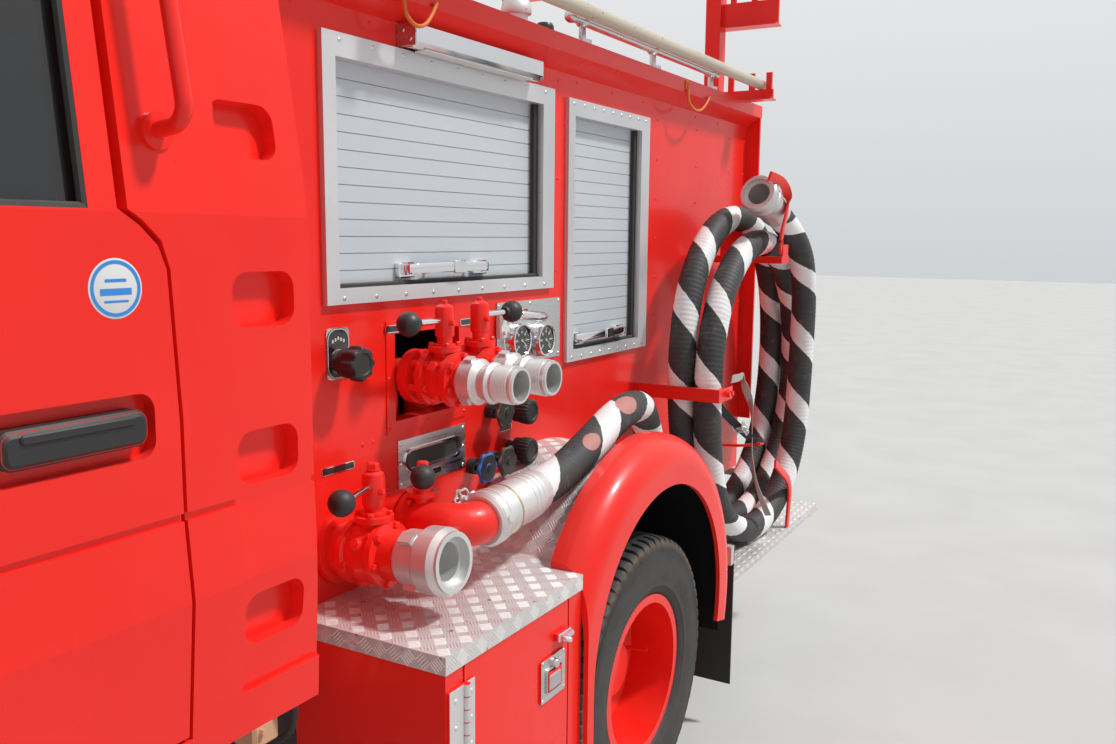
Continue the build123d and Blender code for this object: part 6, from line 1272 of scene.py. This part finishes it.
clear_lens = painted("clear_lens", (0.80, 0.82, 0.83), (0.70, 0.72, 0.73), (0.04, 0.1), 0.8,
                     metal=0.35)
amber_lens = painted("amber_lens", (0.85, 0.28, 0.02), (0.75, 0.22, 0.02), (0.08, 0.16), 0.7)
lamp_red = painted("lamp_red", (0.55, 0.012, 0.008), (0.45, 0.010, 0.007), (0.08, 0.16), 0.7)
lamp_place = (2.7263, 0.525, 1.012)
forward = (1, 0, 0)
backward = (-1, 0, 0)
bezels, clear_parts, amber_parts, red_parts = (Batch() for _ in range(4))
bezels.put(turned(((64, 0.5), (66, 4), (72, 5.5), (78, 2), (81.5, -6), (82.5, -18), (79.5, -25.5),
                   (78.5, -25.5), (78.5, -4), (66, 0.2), (64, 0.5)), 64), lamp_place, forward)
clear_parts.put(fluted_lens(66, 6, 9), lamp_place, forward)
amber_parts.put(slab(85, 105, 22, 6, 12), (2.7002, 0.668, 1.012), forward)
bezels.put(border(97, 117, 14, 6, 8), (2.7003, 0.668, 1.012), forward)
grille_bars = Batch(False)
for bar_y in np.linspace(-0.392, 0.392, 29):
    grille_bars.put(slab(5, 204, 2.8, 0.5), (2.7030, bar_y, 1.010), forward)
for strip_z in (1.124, 0.896):
    bezels.put(slab(860, 8, 14, 3), (2.7003, 0.0, strip_z), forward, mirrored=False)
grille_bars.piece("grille_bars", black_plastic)

# Bumper treads
# The bumper's ends are steps, with strips of raised ribs on top.
treads = Batch()
for rib in range(9):
    treads.put(slab(170, 6, 1.5, 0.5), (2.600 - rib * 0.016, 0.8505 - 0.001 * rib, 0.5577), (0, 0, 1), forward)
treads.piece("bumper_treads", black_rubber)

# Tail lamps and rear shutter
# Red, amber and clear lenses share each upright lamp; round reflectors sit under them.
# The rear curtain has rubber lips and a chromed pull like the side ones.
for lens_parts, lens_z, lens_high in ((red_parts, 0.975, 52), (amber_parts, 0.926, 40),
                                      (clear_parts, 0.879, 40)):
    lens_parts.put(slab(60, lens_high, 4, 1.5, 6), (-2.7058, 0.512, lens_z), backward)
reflector_place = (-2.6800, 0.512, 0.800)
red_parts.put(turned(((0, 6), (30, 5), (33, 2), (33, 0), (0, 0)), 32), reflector_place, backward)
bezels.put(turned(((33, 5), (37, 4), (38, 0), (33, 0), (33, 5)), 32), reflector_place, backward)
rear_seals = Batch(False)
for start, end, half in (((-0.402, 0.912), (-0.402, 1.888), 8), ((0.402, 0.912), (0.402, 1.888), 8),
                         ((-0.400, 0.914), (0.400, 0.914), 6)):
    section = ((-8, -half), (8, -half), (8, half), (-8, half))
    rear_seals.put(straight_bar((-2.668, *start), (-2.668, *end), section))
rear_seals.piece("rear_shutter_seals", black_rubber)
rear_pull = Batch(False)
for foot_y in (-0.210, 0.210):
    rear_pull.put(slab(40, 30, 10, 3, 6), (-2.6655, foot_y, 0.975), backward)
rear_pull.put(round_bar([(-2.672, -0.222, 0.975), (-2.694, -0.218, 0.977), (-2.700, -0.170, 0.979),
                         (-2.702, 0.0, 0.980), (-2.700, 0.170, 0.979), (-2.694, 0.218, 0.977),
                         (-2.672, 0.222, 0.975)], 8.5))
rear_pull.piece("rear_shutter_pull", chrome)


# Warning light bar
# The bar's red cover sits on a metal tray, with a grey loudspeaker grille in the middle and dark joints.
def sheet(line, far_line, low_y, high_y):
    """A sheet between two lines of (x, z) places that spans from one y to another."""
    edges = ((line, low_y), (far_line, low_y), (far_line, high_y), (line, high_y))
    return skin(np.stack([np.insert(places, 1, side_y, axis=1) for places, side_y in edges], 1))


def bar_arc(low_y, high_y, out):
    """A band on the bar's cover, which is an arc 120 mm high and 300 mm wide."""
    sag, half = 0.120, 0.150
    radius = (half ** 2 + sag ** 2) / (2 * sag)
    swing = math.asin(half / radius)
    angle = np.pi / 2 - np.linspace(-swing, swing, 24)
    middle = (1.900, 2.455 - radius)
    cover, crest = (about_z(reach, angle, 0)[:, :2] + middle for reach in (radius, radius + out))
    return sheet(cover, crest, low_y, high_y)


grey_plastic = painted("grey_plastic", (0.30, 0.31, 0.32), (0.36, 0.37, 0.38), (0.4, 0.55),
                       skin=(300.0, 0.1, 0.0003))
bar_joints, speaker = Batch(False), Batch(False)
for joint_y in (-0.345, -0.115, 0.115, 0.345):
    bar_joints.put(bar_arc(joint_y - 0.005, joint_y + 0.005, 0.0030))
for rib in range(22):
    speaker.put(bar_arc(-0.104 + rib * 0.0096, -0.0985 + rib * 0.0096, 0.0022))
for end in (-1, 1):
    bar_joints.put(slab(290, 36, 3, 1, 4), (1.900, end * 0.560, 2.315), (0, end, 0))
    speaker.put(slab(1118, 36, 2.5, 1, 3), (1.900 + end * 0.150, 0.0, 2.315), (end, 0, 0))
bar_joints.piece("light_bar_joints", black_plastic)
speaker.piece("light_bar_speaker", grey_plastic)
bezels.piece("lamp_bezels", chrome)
clear_parts.piece("clear_lenses", clear_lens)
amber_parts.piece("amber_lenses", amber_lens)
red_parts.piece("red_lenses", lamp_red)

# Wheel arches
# Black sheets close the arches over the rear wheels towards the deck, the tail and the chassis. They are
# painted shade: a near-black stand-in for the shadow inside the arches.
arch_shade_black = painted("arch_shade_black", (0.006, 0.006, 0.006), (0.012, 0.011, 0.011), (0.8, 0.95),
                     skin=(120.0, 0.3, 0.001), shine=0.2)
arch_turn = np.radians(np.linspace(40.0, 141.0, 40))
arch_line = about_z(0.4735, arch_turn, 0)[:, :2] + (deck_middle_x, deck_middle_z)
rear_leg = ((-1.455, 0.745), (-1.475, 0.670), (-1.488, 0.580), (-1.495, 0.470), (-1.497, 0.360))
shade_sheet_line = np.concatenate((arch_line, rear_leg))
shade_sheet_thick = 0.003
inward = unit(np.gradient(shade_sheet_line, axis=0))[:, ::-1] * (1, -1)
# These sheets and the slab beside the chassis are painted shade in the arches.
shade_sheets = Batch().put(sheet(shade_sheet_line, shade_sheet_line + inward * shade_sheet_thick, 0.458, 0.930))
shade_sheets.put(slab(960, 250, 3, 0.8, 10), (-1.120, 0.4520, 0.672)).piece("wheel_arch_shade_sheets", arch_shade_black)

# Small pump under the cab
# A beige plastic pump with a grey neck and a black hose hangs behind the cab's rear corner.
beige_plastic = painted("beige_plastic", (0.72, 0.45, 0.27), (0.62, 0.38, 0.22), (0.5, 0.7),
                        dust=(road_dust, 0.4))
pump_body = Batch(False).put(slab(62, 48, 52, 6, 8), (0.020, 0.575, 0.640))
pump_body.put(slab(46, 22, 46, 4, 6), (0.018, 0.578, 0.674))
pump_body.put(turned(((0, 10), (6, 9), (8, 0), (0, 0)), 6), (0.034, 0.627, 0.648))
pump_body.piece("small_pump_body", beige_plastic)
neck = turned(((0, 60), (14, 58), (20, 45), (20, 0), (0, 0)), 20)
Batch(False).put(neck, (0.020, 0.602, 0.684), (0.35, 0.0, 1.0)).piece("small_pump_neck", grey_plastic)
pump_line = [(0.040, 0.602, 0.738), (0.052, 0.612, 0.762), (0.030, 0.640, 0.770), (-0.010, 0.655, 0.735),
             (-0.030, 0.650, 0.660), (-0.022, 0.630, 0.600), (0.010, 0.560, 0.590)]
Batch(False).put(round_bar(pump_line, 7.5, 12)).piece("small_pump_hose", black_rubber)

# Valve stems
# A painted stem stands in the dish of each pair of rear wheels.
stem_line = [(-1.190, 0.690, 0.377), (-1.195, 0.730, 0.377), (-1.205, 0.775, 0.379), (-1.212, 0.812, 0.381)]
stem = Batch(False).put(round_bar(stem_line, 6.2, 12))
stem.put(turned(((0, 16), (6.8, 15), (8, 0), (0, 0)), 12), (-1.212, 0.810, 0.381), (0, 1, 0.05))
stem.pair("valve_stem_rear", red_paint, "rear_{}_wheels")
